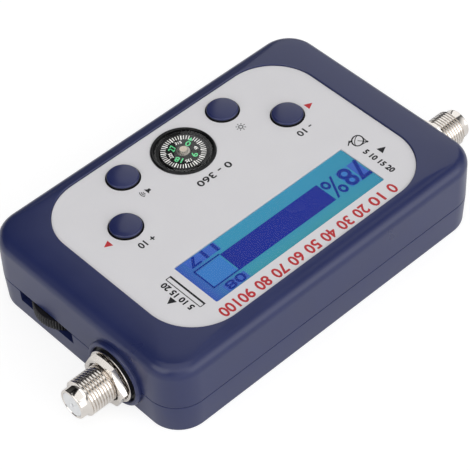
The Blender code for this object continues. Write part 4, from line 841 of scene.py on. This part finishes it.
def make_case_screws():
    """Countersunk from the back, with a cross in each head."""
    head = [(0, 16.1), (0.7, 16.1), (1.4, 15.4), (1.4, 3.1), (2.5, 3.1),
            *arc(2.5, 3.0, 0.1, 90, 0, 2), *arc(1.7, 2.2, 0.9, 0, -90, 6), (0, 1.3)]
    points = [(CROSS_LONG, -CROSS_THIN), (CROSS_LONG, CROSS_THIN), (CROSS_THIN, CROSS_THIN)]
    for _ in range(3):
        points += [(-y, x) for x, y in points[-3:]]
    for number, place in enumerate(CASE_SCREWS, 1):
        screw = turned(f"screw_cross_{number}", in_mm(head), 40, at(*place))
        cross = bmesh.new()
        prism(cross, points, CROSS_LOW, CROSS_DEEP,
              at(*place) @ Matrix.Rotation(CROSS_TURN + CROSS_TURN_STEP * number, 4, "Z"))
        carve(screw, ("DIFFERENCE", cross))
        dress(screw, STEEL, "housing", "screw_steel", f"case_screw_{number}")


# ---- Printing and display marks, in mm ----

def digits(shape, text, height, place, turn=0.0, width=None, bold=0.0, lean=0.0, z=FACE_Z):
    """Adds raised figures to a bmesh, centred on place, of the given height and width."""
    curve = bpy.data.curves.new("figures", "FONT")
    curve.body, curve.extrude, curve.shear = text, 0.5, lean
    curve.resolution_u = 3
    holder = bpy.data.objects.new("figures", curve)
    SCENE.collection.objects.link(holder)
    mesh = evaluated_mesh(holder)
    bpy.data.objects.remove(holder, do_unlink=True)
    xs, ys = [v.co.x for v in mesh.vertices], [v.co.y for v in mesh.vertices]
    tall = height * MM / (max(ys) - min(ys))
    wide = width * MM / (max(xs) - min(xs)) if width else tall
    centre = Matrix.Translation((-(max(xs) + min(xs)) / 2, -(max(ys) + min(ys)) / 2, 0.5))
    mesh.transform(Matrix.Translation((place[0] * MM, place[1] * MM, z))
                   @ Matrix.Rotation(radians(turn), 4, "Z")
                   @ Matrix.Diagonal((wide, tall, PRINT_THICKNESS, 1)) @ centre)
    shape.from_mesh(mesh)
    for copy in range(BOLD_COPIES if bold else 0):
        shift = Matrix.Rotation(2 * pi * copy / BOLD_COPIES, 4, "Z") @ Vector((bold * MM, 0, 0))
        mesh.transform(Matrix.Translation(shift + Vector((0, 0, BOLD_RISE * (copy + 1)))))
        shape.from_mesh(mesh)
        mesh.transform(Matrix.Translation(-shift))
    bpy.data.meshes.remove(mesh)


def flat(shape, points, z=FACE_Z):
    prism(shape, in_mm(points), z, z + PRINT_THICKNESS)


def bar(shape, start, end, width, z=FACE_Z):
    a, b = Vector(start), Vector(end)
    side = (b - a).orthogonal().normalized() * width / 2
    flat(shape, [a + side, b + side, b - side, a - side], z)


def band(shape, centre, inner, outer, start=0, end=359.9, steps=24):
    """A flat ring sector, angles in degrees."""
    turns = [radians(start + (end - start) * k / steps) for k in range(steps + 1)]
    flat(shape, [spot(outer, t, centre) for t in turns]
         + [spot(inner, t, centre) for t in reversed(turns)])


def draw_dish(shape):
    """A generic dish on its foot, with the feed held in front of it."""
    dish, along, across = Vector(DISH_MARK), Vector((-0.613, 0.79)), Vector((0.79, 0.613))
    half_width, feed, foot = 1.85, dish + along * 2.35, dish + Vector((2.15, -0.9))

    def on_dish(deep, turn):
        angle = radians(turn)
        return dish + along * (deep * cos(angle)) + across * (half_width * sin(angle))

    for deep, first, width in ((1.45, 0, 0.34), (0.7, 100, 0.2)):
        for turn in range(first, 360 - first, 20):
            bar(shape, on_dish(deep, turn - 2), on_dish(deep, turn + 22), width)
    for turn in (52, -52):
        bar(shape, on_dish(1.35, turn), feed, 0.24)
    band(shape, feed, 0.0001, 0.32)
    bar(shape, dish, feed, 0.2)
    bar(shape, on_dish(1.35, 180), foot, 0.34)
    bar(shape, foot + across * 0.9, foot - across * 0.9, 0.3)


def make_print():
    """Red scale and triangles; black outline, dish, lamp, loudspeaker and numbers."""
    red, black = bmesh.new(), bmesh.new()
    for k in range(11):
        text = str(10 * k)
        digits(red, text, SCALE_HEIGHT, (SCALE_START + SCALE_STEP * k, SCALE_Y),
               width=SCALE_WIDTHS[len(text) - 1], bold=SCALE_BOLD)
    for shape, triangles in ((red, RED_TRIANGLES), (black, BLACK_TRIANGLES)):
        for points in triangles:
            flat(shape, points)
    for figures in FACE_FIGURES:
        digits(black, *figures)
    for line in OUTLINE:
        bar(black, *line)
    draw_dish(black)
    band(black, LAMP_MARK, *LAMP_RING)
    for k in range(8):
        turn = pi / 4 * k
        ray = [spot(radius, turn, LAMP_MARK) for radius in LAMP_RAYS]
        bar(black, *ray, 0.2)
    flat(black, [(SOUND_MARK[0] + x, SOUND_MARK[1] + y) for x, y in SOUND_CONE])
    for radius in SOUND_WAVES:
        band(black, (SOUND_MARK[0] - 0.2, SOUND_MARK[1]), radius, radius + 0.2, -38, 38)
    dress(to_object("print_red_scale", red), INK_RED, "housing", "label_film")
    dress(to_object("print_black_marks", black), INK_BLACK, "housing", "label_film")


def make_display():
    """Clear pane flush with the label, and the lit sheet close under it."""
    size = (DISPLAY_LENGTH - 2 * PANE_GAP, DISPLAY_WIDTH - 2 * PANE_GAP, PANE_CORNER)
    for name, material, slot, node_name, low, high in (
            ("window_pane", WINDOW, "clear_window", "display_window", PANE_LOW_Z, FACE_Z),
            ("lit_sheet", LCD, "display_blue", "display_glass", SHEET_LOW_Z, SHEET_TOP_Z)):
        shape = bmesh.new()
        lofted(shape, [(*size, low), (*size, high - PANE_SOFT),
                       (*grown(size, -PANE_SOFT), high)], steps=6, place=(0, DISPLAY_Y))
        dress(to_object(name, shape), material, "housing", slot, node_name)


def make_display_marks():
    """Cells close over the lit sheet, the level bar on them, and the figures on top."""
    cells_z = SHEET_TOP_Z + MARK_RISE
    bar_z, figures_z = cells_z + PRINT_THICKNESS, cells_z + 2 * PRINT_THICKNESS
    cells, box, dark, blue = (bmesh.new() for _ in range(4))
    for shape, z, blocks in ((cells, cells_z, DEEP_CELLS), (box, cells_z, LIGHT_CELLS),
                             (dark, bar_z, [LEVEL_BAR])):
        for x0, x1, y0, y1 in blocks:
            flat(shape, [(x0, y0), (x1, y0), (x1, y1), (x0, y1)], z)
    for start, end in BOX_EDGES:
        bar(blue, start, end, BOX_LINE, figures_z)
    for text, height, place, width, bold, lean in DISPLAY_FIGURES:
        digits(blue, text, height, place, 0.0, width, bold, lean, figures_z)
    for name, shape, material in (("display_cells", cells, CELL_DEEP),
                                  ("display_box", box, CELL_BLUE),
                                  ("display_bar", dark, SEGMENT_DARK),
                                  ("display_figures", blue, SEGMENT_BLUE)):
        dress(to_object(name, shape), material, "housing", "display_blue")


def make_card_marks():
    """Ticks, green figures in tens of degrees and a triangle at north, all on the card; they glow,
    which is painted light.
    """
    white, green = bmesh.new(), bmesh.new()
    z, centre = CARD_TOP_Z, (0, COMPASS_Y / MM)
    for k in range(1, TICKS):
        turn = CARD_NORTH + 2 * pi * k / TICKS
        inner, width = SHORT_TICK if k % 4 else LONG_TICK
        bar(white, spot(inner, turn, centre), spot(TICK_END, turn, centre), width, z)
    for k, text in enumerate(CARD_FIGURES):
        turn = CARD_NORTH - pi / 2 * k
        digits(green, text, GREEN_HEIGHT, spot(GREEN_PLACE, turn, centre),
               turn * 180 / pi - 90, GREEN_WIDTHS[len(text) - 1], GREEN_BOLD, z=z)
        turn -= pi / 4
        digits(white, str(45 + 90 * k), WHITE_HEIGHT, spot(WHITE_PLACE, turn, centre),
               turn * 180 / pi - 90, bold=WHITE_BOLD, z=z)
    north, east = Vector(spot(1, CARD_NORTH)), Vector(spot(1, CARD_NORTH + pi / 2))
    flat(green, [Vector(centre) + north * a + east * b for a, b in NORTH_MARK], z)
    dress(to_object("card_ticks", white), WHITE_INK_PAINTED_GLOW, "compass_card", "black_plastic")
    dress(to_object("card_figures", green), GREEN_INK_PAINTED_GLOW, "compass_card", "black_plastic")
    cap = [(0, 22.8), (0.85, 22.8), *arc(0.85, 22.74, 0.06, 90, 0, 3), (0.91, 22.7), (0, 22.7)]
    dress(turned("hub_cap", in_mm(cap), 40, at(0, COMPASS_Y)), HUB_CREAM_PAINTED_GLOW, "compass_card", "brass")


# ---- Stage ----

def make_camera():
    data = bpy.data.cameras.new("camera")
    data.sensor_width, data.lens = CAMERA_SENSOR, CAMERA_LENS
    data.clip_start, data.clip_end = 0.01, 20.0
    camera = bpy.data.objects.new("camera", data)
    camera.matrix_world = (Matrix.Translation(CAMERA_PLACE)
                           @ Matrix(CAMERA_AXES).transposed().to_4x4())
    SCENE.collection.objects.link(camera)
    SCENE.camera = camera


def seen_white(tree):
    """Two outputs: 1 for camera rays, and 1 for camera, glossy and transmission rays."""
    rays = node(tree, "LightPath").outputs
    direct = total = rays["Is Camera Ray"]
    for name in ("Is Glossy Ray", "Is Transmission Ray"):
        total = reckon(tree, "MAXIMUM", total, rays[name])
    return direct, total


def make_world():
    """Studio room: bright at the horizon, dim overhead and towards two sides; white where seen."""
    world = bpy.data.worlds.new("room")
    SCENE.world = world
    world.use_nodes = True
    tree = world.node_tree
    back = tree.nodes["Background"]
    direction = node(tree, "TexCoord").outputs["Generated"]
    split = node(tree, "SeparateXYZ")
    tree.links.new(direction, split.inputs[0])
    shade = remap(tree, split.outputs[2], *ROOM_HORIZON_TO_ZENITH, *ROOM_SLOPE)
    for towards, least, start, end in ROOM_DIM_SIDES:
        dot = node(tree, "VectorMath", operation="DOT_PRODUCT")
        dot.inputs[1].default_value = Vector(towards).normalized()
        tree.links.new(direction, dot.inputs[0])
        shade = reckon(tree, "MULTIPLY", shade,
                       remap(tree, dot.outputs["Value"], 1.0, least, start, end))
    room = blend(tree, shade, (0.0, 0.0, 0.0), (1.0, 1.0, 1.01))
    seen = node(tree, "LightPath").outputs["Is Camera Ray"]
    tree.links.new(blend(tree, seen, room, (1.0, 1.0, 1.0)), back.inputs["Color"])
    back.inputs["Strength"].default_value = 1.0


def make_floor():
    """White floor: it glows a little where it is seen, and still takes the object's shadow."""
    shape = bmesh.new()
    bmesh.ops.create_grid(shape, x_segments=2, y_segments=2, size=FLOOR_HALF)
    floor = to_object("floor", shape)
    floor.location.z = -FLOOR_DROP
    material = bpy.data.materials.new("floor_white")
    material.use_nodes = True
    tree = material.node_tree
    tree.nodes.remove(tree.nodes["Principled BSDF"])
    output = next(n for n in tree.nodes if n.type == "OUTPUT_MATERIAL")
    diffuse, glow = node(tree, "BsdfDiffuse"), node(tree, "Emission")
    add = node(tree, "AddShader")
    place = node(tree, "TexCoord").outputs["Object"]
    direct, seen = seen_white(tree)
    distance = node(tree, "VectorMath", operation="LENGTH")
    tree.links.new(place, distance.inputs[0])
    level = reckon(tree, "MAXIMUM",
                   remap(tree, distance.outputs["Value"], *FLOOR_GLOW, *FLOOR_GLOW_REACH),
                   remap(tree, direct, 0.0, FLOOR_SEEN_GLOW, 0.0, 1.0))
    lit = blend(tree, noise(tree, place, 400.0, 2.0), (0.81, 0.81, 0.81), (0.83, 0.83, 0.83))
    tree.links.new(blend(tree, direct, lit, (FLOOR_SEEN_GREY,) * 3), diffuse.inputs["Color"])
    tree.links.new(reckon(tree, "MULTIPLY", seen, level), glow.inputs["Strength"])
    tree.links.new(diffuse.outputs[0], add.inputs[0])
    tree.links.new(glow.outputs[0], add.inputs[1])
    tree.links.new(add.outputs[0], output.inputs["Surface"])
    floor.data.materials.append(material)


def make_lamp(name, place, width, height, power):
    """A softbox aimed at the meter."""
    data = bpy.data.lights.new(name, "AREA")
    data.shape, data.size, data.size_y, data.energy = "RECTANGLE", width, height, power
    lamp = bpy.data.objects.new(name, data)
    lamp.location = place
    lamp.rotation_euler = (-Vector(place)).to_track_quat("-Z", "Y").to_euler()
    SCENE.collection.objects.link(lamp)


def paint_nodes():
    """Materials for the CAD nodes that show as they are."""
    groups = ((GUIDE, ["display_backlight"]), (RUBBER, ["display_contact_strip"]),
              (BOARD, ["main_board"]),
              (BLACK, ["display_frame", "main_chip", "buzzer_element", "potentiometer_body",
                       *[name + "_switch_plunger" for name in BUTTONS]]),
              (BRASS, ["compass_pivot", "thumbwheel_axle", "receiver_centre_contact",
                       "satellite_centre_contact"]),
              (STEEL, [*[name + "_switch_body" for name in BUTTONS],
                       *[f"board_screw_{number}" for number in range(1, 5)]]))
    for material, names in groups:
        for name in names:
            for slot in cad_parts[name].material_slots:
                slot.material = material


make_camera()
make_world()
make_floor()
for lamp in LAMPS:
    make_lamp(*lamp)
SCENE.view_settings.view_transform = "Standard"
paint_nodes()
make_upper_shell()
make_lower_shell()
make_label()
make_buttons()
make_compass()
make_wheel()
for name, way in (("receiver", 1), ("satellite", -1)):
    make_connector_shell(name, way)
    make_nut(name, way)
    make_washers(name, way)
    make_shade_bush(name, way)
    make_insulator(name, way)
make_case_screws()
make_print()
make_display()
make_display_marks()
make_card_marks()
